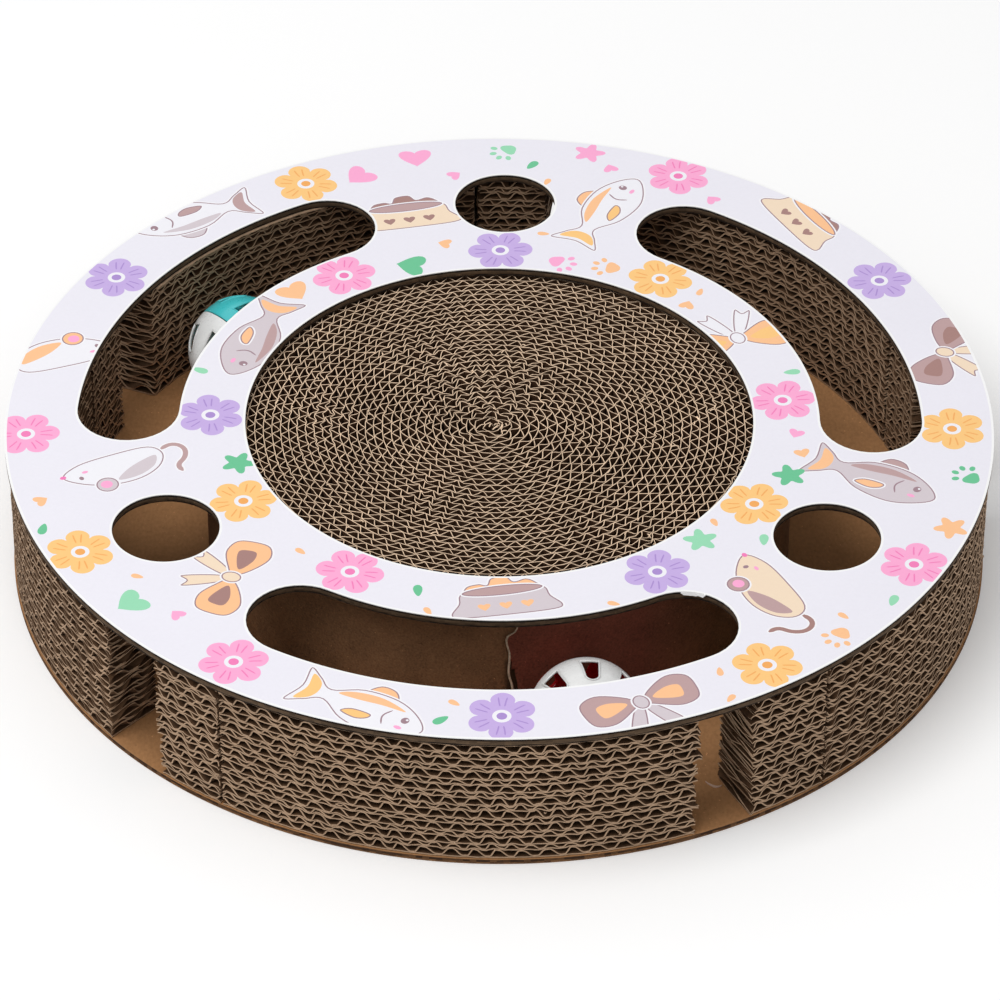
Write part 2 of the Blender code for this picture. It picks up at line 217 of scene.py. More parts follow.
# Band round the coil
BAND_OUTER_RADIUS = 0.1030
BAND_THICKNESS = 0.0006
BAND_LAP_GAP = 0.0004
BAND_LAP_START = 272.4
BAND_LAP_END = 284.0
BAND_FLAT_END = 286.0
BAND_RAMP_END = 296.0
BAND_ROWS = 30
BAND_PEEL = 0.0050
BAND_PEEL_SHARE = 0.72
BAND_CORNER = (-0.8, -0.7, 0.0, 0.0, 2.3, 2.5)
BAND_CORNER_AT = (0.0, 0.50, 0.64, 0.78, 0.84, 1.0)
BAND_TEAR = (0.3, 0.16)
BAND_TEAR_FADE = 5.0
BAND_PEEL_FADE = 2.0
BAND_TILT = 3.9
BAND_TILT_MIDDLE = 0.55
BAND_CRACK_FOOT = 5
BAND_CRACK_TOPS = {2: 17, 3: 15}
# Painted shade: behind the crack at the flap's foot, in degrees past the lap and below BAND_SHADE_TOP of the
# height, the band's colour is darkened to BAND_SHADE of itself, for the shadow in the fold.
BAND_SHADE_SPAN = (-1.5, 3.5)
BAND_SHADE = 0.25
BAND_SHADE_TOP = 0.58
BAND_RED_SPAN = (298.0, 318.0)
BAND_RED = (122, 68, 52)

# Print
BORDER_WIDTH = 0.0008
LINE_WIDTH = 0.00046
HALO_WIDTH = 0.00060
PRINT_RADIUS = 0.1725
TORN_SPAN = (93.0, 66.0)
TORN_DROP = 0.0014
TORN_END_DROPS = (0.0004, 0.0003)
TORN_INSETS = (0.00005, 0.0005)

# Cut edges of the boards, from the top down: how deep a step lies, how far down, and how dark it is below
PANEL_EDGE = [(0.0003, 0.0, 1.0), (0.0003, 0.12, 0.9), (0.00012, 0.22, 0.35), (0.0, 0.45, 0.25),
              (0.00015, 0.7, 0.1), (0.0004, 0.84, 0.9), (0.0003, 1.0, 1.0)]
BASE_EDGE = [(0.0, 0.0, 0.1), (0.0, 0.1, 0.7), (0.0003, 0.3, 0.95), (0.0003, 0.75, 0.75), (0.0, 0.92, 0.5),
             (0.0, 1.0, 0.5)]
EDGE_ROUGHNESS = 0.7
RIM_SEGMENTS = 480
MERGE_DISTANCE = 0.000002
PRINT_MERGE_DISTANCE = 0.0000005
EDGE_SHADE_STRAY = 0.22


def linear(*rgb):
    """A colour given in the 0 to 255 steps of a colour picker, as the linear values that a shader takes."""
    steps = [value / 255 for value in rgb]
    return tuple(s / 12.92 if s <= 0.04045 else ((s + 0.055) / 1.055) ** 2.4 for s in steps) + (1.0,)


INKS = {
    "border": (250, 250, 250), "ground": (239, 237, 246), "halo": (248, 247, 251), "line": (158, 128, 138),
    "lilac": (200, 175, 230), "deep_lilac": (172, 142, 210), "pink": (255, 172, 214),
    "deep_pink": (246, 128, 188), "orange": (255, 203, 128), "deep_orange": (246, 172, 92),
    "peach": (255, 197, 146), "cream": (246, 223, 196), "mauve": (190, 158, 158), "brown": (166, 126, 120),
    "grey": (214, 203, 209), "mint": (152, 221, 182), "deep_mint": (104, 196, 148),
    "white": (244, 243, 249),
}


class Field:
    """A number at each point of a node tree. Arithmetic on it adds Math nodes to the tree."""

    def __init__(self, tree, socket):
        self.tree = tree
        self.socket = socket

    def __add__(self, other):
        return calc("ADD", self, other)

    def __radd__(self, other):
        return calc("ADD", other, self)

    def __sub__(self, other):
        return calc("SUBTRACT", self, other)

    def __rsub__(self, other):
        return calc("SUBTRACT", other, self)

    def __mul__(self, other):
        return calc("MULTIPLY", self, other)

    def __rmul__(self, other):
        return calc("MULTIPLY", other, self)

    def __truediv__(self, other):
        return calc("DIVIDE", self, other)

    def __neg__(self):
        return calc("MULTIPLY", self, -1.0)


def feed(tree, socket, value):
    """Gives an input a plain value, or links what makes it."""
    if isinstance(value, Field):
        tree.links.new(value.socket, socket)
    elif isinstance(value, bpy.types.NodeSocket):
        tree.links.new(value, socket)
    else:
        socket.default_value = value


def calc(operation, *values):
    tree = next(value.tree for value in values if isinstance(value, Field))
    math_node = tree.nodes.new("ShaderNodeMath")
    math_node.operation = operation
    for socket, value in zip(math_node.inputs, values):
        feed(tree, socket, value)
    return Field(tree, math_node.outputs[0])


def between(low, high, share):
    return low + (high - low) * share


def held(value, low, high):
    return calc("MINIMUM", calc("MAXIMUM", value, low), high)


def add_node(tree, kind, inputs=None, **settings):
    """A node with its settings, and with its inputs fed by name or by number."""
    made = tree.nodes.new(kind)
    for name, value in settings.items():
        setattr(made, name, value)
    for key, value in (inputs or {}).items():
        feed(tree, made.inputs[key], value)
    return made


def node_field(tree, kind, inputs, output=0, **settings):
    return Field(tree, add_node(tree, kind, inputs, **settings).outputs[output])


def parts_of(tree, kind):
    """The x, y and z of the vector that a kind of input node gives."""
    split = add_node(tree, "ShaderNodeSeparateXYZ", {0: add_node(tree, kind).outputs[0]})
    return [Field(tree, socket) for socket in split.outputs]


def noise(tree, place, scale, detail):
    """A noise texture at a place, from 0 to 1."""
    return node_field(tree, "ShaderNodeTexNoise", {"Vector": place, "Scale": scale, "Detail": detail})


def new_tree(name, kind, inputs, outputs):
    """A node group with named sockets, and its input and output nodes."""
    tree = bpy.data.node_groups.new(name, kind)
    for label, socket_type in inputs:
        tree.interface.new_socket(label, in_out="INPUT", socket_type=socket_type)
    for label, socket_type in outputs:
        tree.interface.new_socket(label, in_out="OUTPUT", socket_type=socket_type)
    return tree, tree.nodes.new("NodeGroupInput"), tree.nodes.new("NodeGroupOutput")


def geometry_tree(name, floats=(), whole=()):
    inputs = [(label, "NodeSocketFloat") for label in floats]
    inputs += [(label, "NodeSocketInt") for label in whole]
    inputs.append(("Material", "NodeSocketMaterial"))
    tree, entry, result = new_tree(name, "GeometryNodeTree", inputs, [("Geometry", "NodeSocketGeometry")])
    sizes = {label: Field(tree, entry.outputs[label]) for label in (*floats, *whole)}
    return tree, entry, result, sizes


def placed(name, data):
    """A new object in the scene."""
    obj = bpy.data.objects.new(name, data)
    bpy.context.scene.collection.objects.link(obj)
    return obj


def evaluated_mesh(holder):
    """The plain mesh that an object's modifiers make. The object goes."""
    graph = bpy.context.evaluated_depsgraph_get()
    mesh = bpy.data.meshes.new_from_object(holder.evaluated_get(graph), depsgraph=graph)
    bpy.data.objects.remove(holder)
    return mesh


def mesh_from(bm, name):
    mesh = bpy.data.meshes.new(name)
    bm.to_mesh(mesh)
    bm.free()
    return mesh


def grown_mesh(name, tree, values):
    """The plain mesh that a geometry tree makes from these inputs."""
    holder = placed(name, bpy.data.meshes.new(name))
    modifier = holder.modifiers.new(name, "NODES")
    modifier.node_group = tree
    for item in tree.interface.items_tree:
        if item.item_type == "SOCKET" and item.in_out == "INPUT":
            modifier[item.identifier] = values[item.name]
    return evaluated_mesh(holder)


def smooth(mesh, sharp_angle):
    mesh.shade_smooth()
    mesh.set_sharp_from_angle(angle=math.radians(sharp_angle))


def add_piece(name, mesh, material, body, slot, *nodes):
    """Places a finished mesh in the scene: it rides on a body and stands for its nodes."""
    piece = placed(name, mesh)
    if not mesh.materials:
        mesh.materials.append(material)
    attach(piece, body)
    if nodes:
        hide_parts(*nodes)
    return piece


def thicken(piece, thickness, offset):
    solid = piece.modifiers.new("paper", "SOLIDIFY")
    solid.thickness = thickness
    solid.offset = offset


def node_rings(name):
    """Least and greatest radius, middle angle and half angle of a CAD node that is bent round the middle."""
    points = np.array([vertex.co for vertex in frame["nodes"][name].data.vertices])
    plane = points[:, 0] + 1j * points[:, 1]
    middle = np.angle(plane.mean())
    turn = np.angle(plane * np.exp(-1j * middle))
    radii = abs(plane)
    half_angle = (turn.max() - turn.min()) / 2
    return radii.min(), radii.max(), middle + (turn.min() + turn.max()) / 2, half_angle


# Materials


def object_noise(tree, scale, detail):
    """A noise texture that lies fixed on the object."""
    return noise(tree, add_node(tree, "ShaderNodeTexCoord").outputs["Object"], scale, detail)


def toned(tree, color, value):
    """A colour made lighter or darker by a field."""
    return add_node(tree, "ShaderNodeHueSaturation", {"Color": color, "Value": value}).outputs[0]


def paper_group():
    """Brown board paper: fibres, mottling and flecks, paler where a cut edge shows."""
    inputs = [("Face", "NodeSocketColor"), ("Cut", "NodeSocketColor"), ("Cut Mask", "NodeSocketFloat"),
              ("Fibre Scale", "NodeSocketFloat"), ("Contrast", "NodeSocketFloat")]
    outputs = [("Color", "NodeSocketColor"), ("Height", "NodeSocketFloat")]
    tree, entry, result = new_tree("board_paper", "ShaderNodeTree", inputs, outputs)
    place = add_node(tree, "ShaderNodeTexCoord").outputs["Object"]
    scale = Field(tree, entry.outputs["Fibre Scale"])
    stretch = add_node(tree, "ShaderNodeMapping", {"Vector": place, "Scale": FIBRE_STRETCH}).outputs[0]
    fibre = noise(tree, stretch, scale, 4.0)
    mottle = noise(tree, place, scale * 0.06, 3.0)
    fleck = noise(tree, place, scale * 0.9, 1.0)
    dark = calc("GREATER_THAN", fleck, DARK_FLECK[0]) * DARK_FLECK[1]
    pale = calc("GREATER_THAN", PALE_FLECK[0], fleck) * PALE_FLECK[1]
    contrast = Field(tree, entry.outputs["Contrast"])
    value = 1.0 + ((fibre - 0.5) * FIBRE_STRENGTH + (mottle - 0.5) - dark + pale) * contrast
    sockets = {0: entry.outputs["Cut Mask"], 6: entry.outputs["Face"], 7: entry.outputs["Cut"]}
    base = add_node(tree, "ShaderNodeMix", sockets, data_type="RGBA")
    feed(tree, result.inputs["Color"], toned(tree, base.outputs[2], value))
    feed(tree, result.inputs["Height"], fibre)
    return tree


def new_material(name, roughness, **settings):
    material = bpy.data.materials.new(name)
    material.use_nodes = True
    shader = material.node_tree.nodes["Principled BSDF"]
    shader.inputs["Roughness"].default_value = roughness
    for label, value in settings.items():
        shader.inputs[label.replace("_", " ")].default_value = value
    return material, material.node_tree, shader


def bumped(tree, shader, height, distance):
    bump = add_node(tree, "ShaderNodeBump", {"Height": height, "Distance": distance, "Strength": 1.0})
    tree.links.new(bump.outputs[0], shader.inputs["Normal"])


def board_material(name, group, tone=None):
    """Board or paper. tone names the attribute that colours its faces, where they aren't all one colour."""
    face, cut, mask, fibre_scale, contrast = BOARDS[name]
    material, tree, shader = new_material(name, 0.9, Specular_IOR_Level=0.25)
    paper = add_node(tree, "ShaderNodeGroup", node_tree=group)
    marked = add_node(tree, "ShaderNodeAttribute", attribute_name=mask)
    face = linear(*face)
    if tone:
        face = add_node(tree, "ShaderNodeAttribute", attribute_name=tone).outputs["Color"]
    values = {"Face": face, "Cut": linear(*cut), "Cut Mask": marked.outputs["Fac"],
              "Fibre Scale": fibre_scale, "Contrast": contrast}
    for label, value in values.items():
        feed(tree, paper.inputs[label], value)
    tree.links.new(paper.outputs["Color"], shader.inputs["Base Color"])
    bumped(tree, shader, paper.outputs["Height"], BOARD_BUMP)
    return material


def print_material():
    """Ink on coated paper. Each face keeps its own ink, and the paper's grain shows through a little."""
    material, tree, shader = new_material("printed_paper", 0.42, Specular_IOR_Level=0.4)
    ink = add_node(tree, "ShaderNodeAttribute", attribute_name="ink").outputs["Color"]
    grain = object_noise(tree, PRINT_GRAIN[0], 3.0)
    cloud = object_noise(tree, PRINT_CLOUD[0], 2.0)
    value = 1.0 + (grain - 0.5) * PRINT_GRAIN[1] + (cloud - 0.5) * PRINT_CLOUD[1]
    feed(tree, shader.inputs["Base Color"], toned(tree, ink, value))
    bumped(tree, shader, grain, PRINT_BUMP)
    return material


def plastic_material(colour):
    """Moulded plastic with a faint flow pattern and fine scuffs. Light spreads a little inside the white."""
    glow = PLASTIC_GLOW.get(colour, 0.0)
    material, tree, shader = new_material(f"{colour}_plastic", PLASTIC_ROUGHNESS, Coat_Weight=0.15,
                                          Coat_Roughness=0.2, Subsurface_Weight=glow,
                                          Subsurface_Radius=(1.0, 1.0, 1.0),
                                          Subsurface_Scale=PLASTIC_GLOW_DEPTH)
    flow = object_noise(tree, PLASTIC_FLOW[0], 2.0)
    scuff = object_noise(tree, PLASTIC_SCUFF[0], 4.0)
    base = linear(*PLASTIC_COLOURS[colour])
    feed(tree, shader.inputs["Base Color"], toned(tree, base, 1.0 + (flow - 0.5) * PLASTIC_FLOW[1]))
    feed(tree, shader.inputs["Roughness"], PLASTIC_ROUGHNESS + (scuff - 0.5) * PLASTIC_SCUFF[1])
    bumped(tree, shader, scuff, PLASTIC_BUMP)
    return material


def steel_material():
    material, tree, shader = new_material("bell_steel", 0.3, Metallic=1.0)
    brushed = object_noise(tree, STEEL_BRUSH[0], 3.0) * STEEL_BRUSH[1]
    feed(tree, shader.inputs["Base Color"], toned(tree, linear(*STEEL_COLOUR), brushed + 0.85))
    feed(tree, shader.inputs["Roughness"], brushed + 0.15)
    return material


# Corrugated wall


def marked_faces(tree, geometry, name, value):
    """The geometry with a number kept on each face under a name."""
    stored = add_node(tree, "GeometryNodeStoreNamedAttribute",
                      {"Geometry": geometry, "Name": name, "Value": value}, data_type="FLOAT", domain="FACE")
    return stored.outputs[0]


def instances(tree, geometry, count):
    """Copies of a geometry, and which copy is which."""
    single = add_node(tree, "GeometryNodeGeometryToInstance", {0: geometry})
    many = add_node(tree, "GeometryNodeDuplicateElements", {"Geometry": single.outputs[0], "Amount": count},
                    domain="INSTANCE")
    return many.outputs[0], Field(tree, many.outputs["Duplicate Index"])


def bar_copies(tree, samples, copies, rows=2):
    """Thin bars for sheets: a cube with points along X, repeated. Also gives which copy a point is in."""
    cube = add_node(tree, "GeometryNodeMeshCube",
                    {"Size": (1.0, 1.0, 1.0), "Vertices X": samples, "Vertices Y": rows})
    along_x, along_y, along_z = parts_of(tree, "GeometryNodeInputNormal")
    cut_side = calc("GREATER_THAN", calc("ABSOLUTE", along_x) + calc("ABSOLUTE", along_y), 0.5)
    geometry = marked_faces(tree, cube.outputs["Mesh"], "cut_side", cut_side)
    geometry = marked_faces(tree, geometry, "cut_top", calc("GREATER_THAN", along_z, 0.5))
    many, index = instances(tree, geometry, copies)
    return add_node(tree, "GeometryNodeRealizeInstances", {0: many}).outputs[0], index


def moved_to(tree, geometry, x, y, z):
    place = add_node(tree, "ShaderNodeCombineXYZ", {0: x, 1: y, 2: z})
    moved = add_node(tree, "GeometryNodeSetPosition", {"Geometry": geometry, "Position": place.outputs[0]})
    return moved.outputs[0]


def noise_at(tree, x, y, z, scale, detail=1.0):
    """Smooth noise from -0.5 to 0.5."""
    place = add_node(tree, "ShaderNodeCombineXYZ", {0: x, 1: y, 2: z})
    return noise(tree, place.outputs[0], scale, detail) - 0.5


def chance(tree, index, offset):
    """An even random number from 0 to 1 for each index."""
    return node_field(tree, "ShaderNodeTexWhiteNoise", {"W": index * 3.7 + offset}, noise_dimensions="1D")


def flute_wave(phase, flat):
    """A wave from 0 to 1 with one flank steeper. flat runs from 0, a zigzag, to 1, broad round crests."""
    turn = phase * (2 * math.pi)
    turn = turn + calc("SINE", turn) * WAVE_SKEW
    swing = calc("ARCSINE", calc("SINE", turn) * WAVE_SHARPNESS)
    share = swing * (0.5 / math.asin(WAVE_SHARPNESS)) * (1.0 + WAVE_GAIN * flat) + 0.5
    share = held(share, 0.0, 1.0)
    return between(share, share * share * (3.0 - share * 2.0), flat)


def curls(tree, count, seed, length):
    """Small curls of torn paper: their geometry and numbers, and where a point lies on its own curl.

    The number that follows each seed or index in chance picks a row of random numbers of its own.
    """
    geometry, index = bar_copies(tree, 5, count)
    for name in ("cut_side", "cut_top"):
        geometry = marked_faces(tree, geometry, name, 1.0)
    x, y, z = parts_of(tree, "GeometryNodeInputPosition")
    turn = chance(tree, index, seed + 5.1) * (2 * math.pi)
    run = x * length * (chance(tree, index, seed + 9.7) + 0.4)
    side = y * CURL_WIDTH
    across = calc("COSINE", turn) * run - calc("SINE", turn) * side
    up = calc("SINE", turn) * run + calc("COSINE", turn) * side
    lift = (0.25 - x * x) * (4 * CURL_ARCH) + z * CURL_THICKNESS
    return geometry, index, across, up, lift


def joined_tree(tree, entry, result, parts):
    """Ends a geometry tree: its parts joined, in one material."""
    join = add_node(tree, "GeometryNodeJoinGeometry")
    for part in parts:
        tree.links.new(part, join.inputs[0])
    dressed = add_node(tree, "GeometryNodeSetMaterial",
                       {0: join.outputs[0], "Material": entry.outputs["Material"]})
    tree.links.new(dressed.outputs[0], result.inputs[0])
    return tree


def stack_tree():
    """A pile of corrugated sheets cut to a block of a ring. The flutes run along the block's own +X.

    Tall and short flute layers take turns, and each liner gives way to the flutes above and below it. A sheet
    ends on a line through the block's inner corner that leans from the radius by the end's slant.
    """
    floats = [*WALL_SHEETS, "Inner Radius", "Outer Radius", "Half Angle", "Low", "Height", "Lean",
              "Top Reach", "Seed"]
    floats += [f"{mark} {label}" for mark in ("Start", "End") for label in WALL_FREE_END]
    whole = ["Flute Layers", "Flute Samples", "Liner Samples", "Rows", "Curls"]
    tree, entry, result, size = geometry_tree("corrugated_stack", floats, whole)
    paper = size["Paper"]
    seed = size["Seed"]
    inner = size["Inner Radius"]
    outer = size["Outer Radius"]
    last_liner = size["Flute Layers"] + 0.0
    pair_height = (size["Height"] - paper) / ((last_liner - 1.0) * 0.5 + size["Tall Share"])

    def is_short(index):
        return calc("MODULO", index, 2.0)

    def level(index):
        pairs = calc("FLOOR", index * 0.5)
        return size["Low"] + paper * 0.5 + pair_height * (pairs + is_short(index) * size["Tall Share"])

    def wave(index, along):
        pitch = between(size["Tall Pitch"], size["Short Pitch"], is_short(index))
        wander = noise_at(tree, along * WALL_WANDER[0], index * 4.1 + seed, 2.0, 1.0) * WALL_WANDER[1]
        return flute_wave(along / pitch + chance(tree, index, seed + 11.3) + wander, WALL_WAVE_FLAT)

    def liner_height(index, along, below, above):
        """A liner's middle between two flute waves. The first and last lie flat on the base and the panel."""
        free = calc("MINIMUM", calc("MINIMUM", index, last_liner - index), 1.0)
        stray = noise_at(tree, along * WALL_STRAY_SCALE, index * 1.9 + seed, 0.0, 1.0, 2.0)
        broad = noise_at(tree, along * WALL_BROAD_SCALE, index * 0.3 + seed, 5.0, 1.0)
        to_end = size["Half Angle"] * outer - calc("ABSOLUTE", along)
        fan = noise_at(tree, index * 0.37 + seed, 8.0, calc("GREATER_THAN", along, 0.0), 1.0)
        fan = fan * calc("EXPONENT", to_end * -WALL_FAN_FADE) * size["Fan"]
        give = (below + above - 1.0) * (1.0 + broad * WALL_GIVE_SPREAD) * size["Give"]
        return level(index) + ((stray + broad) * size["Crush"] + give + fan) * free

    def sheet(samples, copies, height_at):
        """Sheets of one kind, whose middle height_at(index, along) gives. The top one may reach in, and then
        all of it takes the pale cut colour as a painted highlight, for the light that catches it under the
        panel's edge.
        """
        geometry, index = bar_copies(tree, samples, copies, size["Rows"].socket)
        is_top = calc("GREATER_THAN", index, last_liner - 0.5)
        cut_and_painted_highlight = node_field(tree, "GeometryNodeInputNamedAttribute", {"Name": "cut_side"}, data_type="FLOAT")
        # Painted highlight: every face of the reaching top liner takes the pale cut colour, for the light
        # that catches it under the panel's edge.
        cut_and_painted_highlight = calc("MAXIMUM", cut_and_painted_highlight, is_top * calc("GREATER_THAN", size["Top Reach"], 0.0))
        geometry = marked_faces(tree, geometry, "cut_side", cut_and_painted_highlight)
        x, y, z = parts_of(tree, "GeometryNodeInputPosition")
        corners = []
        leans = []
        tips = []
        for mark, shift in (("End", 0.31), ("Start", 57.7)):
            stray = noise_at(tree, index * 0.4, seed + shift, 3.0, 1.0) * 1.5
            stray = chance(tree, index, seed + shift) - 0.5 + stray
            ragged = stray * size[mark + " Ragged"]
            corner = size["Half Angle"] + size[mark + " Shift"] + ragged * WALL_CORNER_STRAY
            lean = size[mark + " Slant"] + ragged
            foot = inner * calc("COSINE", lean)
            run = calc("SQRT", foot * foot + outer * outer - inner * inner) - foot
            corners.append(corner)
            leans.append(lean)
            tips.append((inner * calc("SINE", corner) + run * calc("SINE", corner + lean)) * 0.999)
        along = between(tips[0], -tips[1], x + 0.5)
        at_end = calc("GREATER_THAN", along, 0.0)
        corner = between(corners[1], corners[0], at_end)
        line = corner + between(leans[1], leans[0], at_end)
        past = calc("ABSOLUTE", along) - inner * calc("SINE", corner)
        nick = noise_at(tree, along * NICK_SCALE, index * 2.3 + seed, 9.0, 1.0, 2.0) + 0.5
        near = calc("SQRT", calc("MAXIMUM", inner * inner - along * along, 0.0)) + nick * NICK_INNER
        near = near - is_top * (size["Top Reach"] - nick * NICK_TOP)
        near = calc("MAXIMUM", near, inner * calc("COSINE", corner) + past / calc("TANGENT", line))
        far = calc("SQRT", outer * outer - along * along) - nick * NICK_OUTER
        far = calc("MAXIMUM", far, near + WALL_LEAST_DEPTH)
        out = between(near, far, y + 0.5)
        seen = along + (out - inner) * size["Lean"]
        rise = height_at(index, seen + WALL_SLOPE_STEP) - height_at(index, seen - WALL_SLOPE_STEP)
        slope = rise / (2 * WALL_SLOPE_STEP)
        side = z * paper / calc("SQRT", slope * slope + 1.0)
        return moved_to(tree, geometry, out, along - side * slope, height_at(index, seen) + side)

    def plain_height(index, along):
        return liner_height(index, along, wave(index - 1.0, along), wave(index, along))

    def flute_height(index, along):
        below, own, above = (wave(index + step, along) for step in (-1.0, 0.0, 1.0))
        low = liner_height(index, along, below, own) + paper
        high = liner_height(index + 1.0, along, own, above) - paper
        return between(low, high, own)

    flutes = sheet(size["Flute Samples"].socket, size["Flute Layers"].socket, flute_height)
    liners = sheet(size["Liner Samples"].socket, (size["Flute Layers"] + 1.0).socket, plain_height)
    geometry, index, across, up, lift = curls(tree, size["Curls"].socket, seed, WALL_CURL_LENGTH)
    angle = (chance(tree, index, seed + 2.2) * 1.9 - 0.95) * size["Half Angle"] + across / outer
    radius = outer - 0.0004 + lift
    height = size["Low"] + size["Height"] * (chance(tree, index, seed + 3.3) * 0.9 + 0.05) + up
    bits = moved_to(tree, geometry, calc("COSINE", angle) * radius, calc("SINE", angle) * radius, height)
    return joined_tree(tree, entry, result, (liners, flutes, bits))


def make_wall(material):
    tree = stack_tree()
    low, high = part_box("wall_block_long_1")
    for seed, name in enumerate(sorted(node for node in frame["nodes"] if node.startswith("wall_block"))):
        inner, outer, middle, half_angle = node_rings(name)
        width = 2 * outer * math.sin(half_angle)
        is_long = "long" in name
        values = {
            **WALL_SHEETS, "Inner Radius": inner, "Outer Radius": outer, "Half Angle": half_angle,
            "Low": low.z, "Height": high.z - low.z, "Seed": 17.3 * seed, "Flute Layers": FLUTE_LAYERS,
            "Lean": 0.0 if is_long else math.tan(math.radians(SHORT_LEAN)),
            "Rows": 2 if is_long else SHORT_ROWS,
            "Curls": WALL_CURLS if is_long else 2,
            "Top Reach": TOP_LINER_REACH if name == REACHING_BLOCK else 0.0,
            "Flute Samples": int(width / WALL_SHEETS["Tall Pitch"] * WAVE_POINTS),
            "Liner Samples": int(width / WALL_LINER_STEP),
            "Material": material,
        }
        ends = (WALL_BUTT_END, WALL_FREE_END) if is_long else (WALL_GAP_END, WALL_BUTT_END)
        for mark, end in zip(("Start", "End"), ends):
            for label, degrees in end.items():
                values[f"{mark} {label}"] = math.radians(degrees)
        if name == WIDE_GAP_BLOCK:
            values["Start Shift"] = math.radians(WIDE_GAP_SHIFT)
        mesh = grown_mesh(name, tree, values)
        mesh.transform(Matrix.Rotation(middle, 4, "Z"))
        smooth(mesh, 45.0)
        add_piece(name.replace("block", "stack"), mesh, material, "root", "wall_board", name)


# Coil


def winding_tree():
    """A strip of single-faced board wound into a spiral: its liner, and the flutes between its turns."""
    floats = [*COIL_SHEETS, "Outer Radius", "Low", "High"]
    whole = ["Flute Samples", "Liner Samples", "Curls"]
    tree, entry, result, size = geometry_tree("wound_board", floats, whole)
    paper = size["Paper"]
    inner = size["Inner Radius"]
    edge = size["Outer Radius"]
    turn_step = (edge - inner) / size["Turns"]

    def wave_at(run):
        wander = noise_at(tree, run * COIL_WANDER[0], 0.0, 1.0, 1.0, 2.0) * COIL_WANDER[1]
        return flute_wave(run / size["Flute Pitch"] + wander, COIL_WAVE_FLAT)

    def liner_lift(run, patch):
        return (wave_at(run) - 0.5) * size["Give"] * patch

    def flute_lift(run, patch):
        wave = wave_at(run)
        radius = calc("SQRT", run * turn_step / math.pi + inner * inner)
        beyond = wave_at(run + (radius * 2.0 + turn_step) * math.pi)
        give = size["Give"] * patch
        return between(paper + (wave - 0.5) * give, turn_step - paper + (beyond - 0.5) * give, wave)

    def ribbon(samples, outer, lift_at):
        """An upright ribbon along the spiral. lift_at(run, patch) is how far out of it its middle lies."""
        geometry, _ = bar_copies(tree, samples, 1)
        x, y, z = parts_of(tree, "GeometryNodeInputPosition")
        radius = calc("SQRT", inner * inner + (outer * outer - inner * inner) * (x + 0.5))
        angle = (radius - inner) / turn_step * (2 * math.pi)
        run = (radius * radius - inner * inner) * math.pi / turn_step
        bed_x = calc("COSINE", angle) * radius
        bed_y = calc("SINE", angle) * radius
        off_x = bed_x - COIL_PATCH[0]
        off_y = bed_y - COIL_PATCH[1]
        near_patch = calc("EXPONENT", (off_x * off_x + off_y * off_y) * -COIL_PATCH_SPREAD)
        patch = noise_at(tree, bed_x, bed_y, 11.0, COIL_PATCH_NOISE[0]) * COIL_PATCH_NOISE[1]
        patch = held(patch + near_patch * COIL_PATCH_GAIN, 0.0, 1.0)
        rise = lift_at(run + COIL_SLOPE_STEP, patch) - lift_at(run - COIL_SLOPE_STEP, patch)
        slope = rise / (2 * COIL_SLOPE_STEP)
        steep = calc("SQRT", slope * slope + 1.0)
        side = -y * paper / steep
        radius = radius + lift_at(run, patch) + side
        angle = angle - side * slope / radius
        flat_x = calc("COSINE", angle) * radius + size["Eye Shift"] * (1.0 - radius / edge)
        flat_y = calc("SINE", angle) * radius
        wobble = size["Wobble"] * held((edge - radius) * COIL_RIM_FADE, 0.0, 1.0)
        crumple = calc("EXPONENT", radius * -COIL_CRUMPLE_FADE) * COIL_CRUMPLE
        pushes = []
        for layer in (0.0, 3.0):
            flat_z = z * COIL_UPRIGHT + layer
            pushes.append(noise_at(tree, flat_x, flat_y, flat_z, COIL_WOBBLE_SCALE, 2.0) * wobble
                          + noise_at(tree, flat_x, flat_y, flat_z, COIL_CRUMPLE_SCALE, 1.0) * crumple)
        dip = (noise_at(tree, flat_x, flat_y, 7.0, COIL_DIP_SCALE, 2.0) + 0.5) * COIL_DIP
        height = between(size["Low"], size["High"] - dip, z + 0.5)
        return moved_to(tree, geometry, flat_x + pushes[0], flat_y + pushes[1], height)

    liner = ribbon(size["Liner Samples"].socket, edge - paper * 0.5, liner_lift)
    flute = ribbon(size["Flute Samples"].socket, edge - turn_step, flute_lift)
    geometry, index, across, up, lift = curls(tree, size["Curls"].socket, 0.0, COIL_CURL_LENGTH)
    spread = between(*COIL_CURL_SPREAD, calc("GREATER_THAN", index + 0.5, COIL_EYE_CURLS))
    radius = calc("SQRT", chance(tree, index, 2.2)) * edge * spread
    angle = chance(tree, index, 3.3) * (2 * math.pi)
    x = calc("COSINE", angle) * radius + across
    y = calc("SINE", angle) * radius + up
    bits = moved_to(tree, geometry, x, y, size["High"] - COIL_CURL_DROP + lift)
    return joined_tree(tree, entry, result, (liner, flute, bits))


def make_coil(material):
    low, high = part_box("scratch_coil")
    outer = high.y
    length = math.pi * COIL_SHEETS["Turns"] * (outer + COIL_SHEETS["Inner Radius"])
    mesh = grown_mesh("coil", winding_tree(), {
        **COIL_SHEETS, "Outer Radius": outer, "Low": low.z, "High": high.z, "Curls": COIL_CURLS,
        "Flute Samples": int(length / COIL_SHEETS["Flute Pitch"] * COIL_FLUTE_POINTS),
        "Liner Samples": int(length / COIL_LINER_STEP), "Material": material,
    })
    smooth(mesh, 50.0)
    add_piece("coil_winding", mesh, material, "root", "coil_board", "scratch_coil")


# Flat boards, as complex points x + iy


def ring(radius, count=240, centre=0j):
    return centre + radius * np.exp(2j * np.pi * np.arange(count) / count)


def outlined(radius, grow):
    return ring(radius + grow, RIM_SEGMENTS)


def turned(angle):
    return np.exp(1j * np.radians(angle))


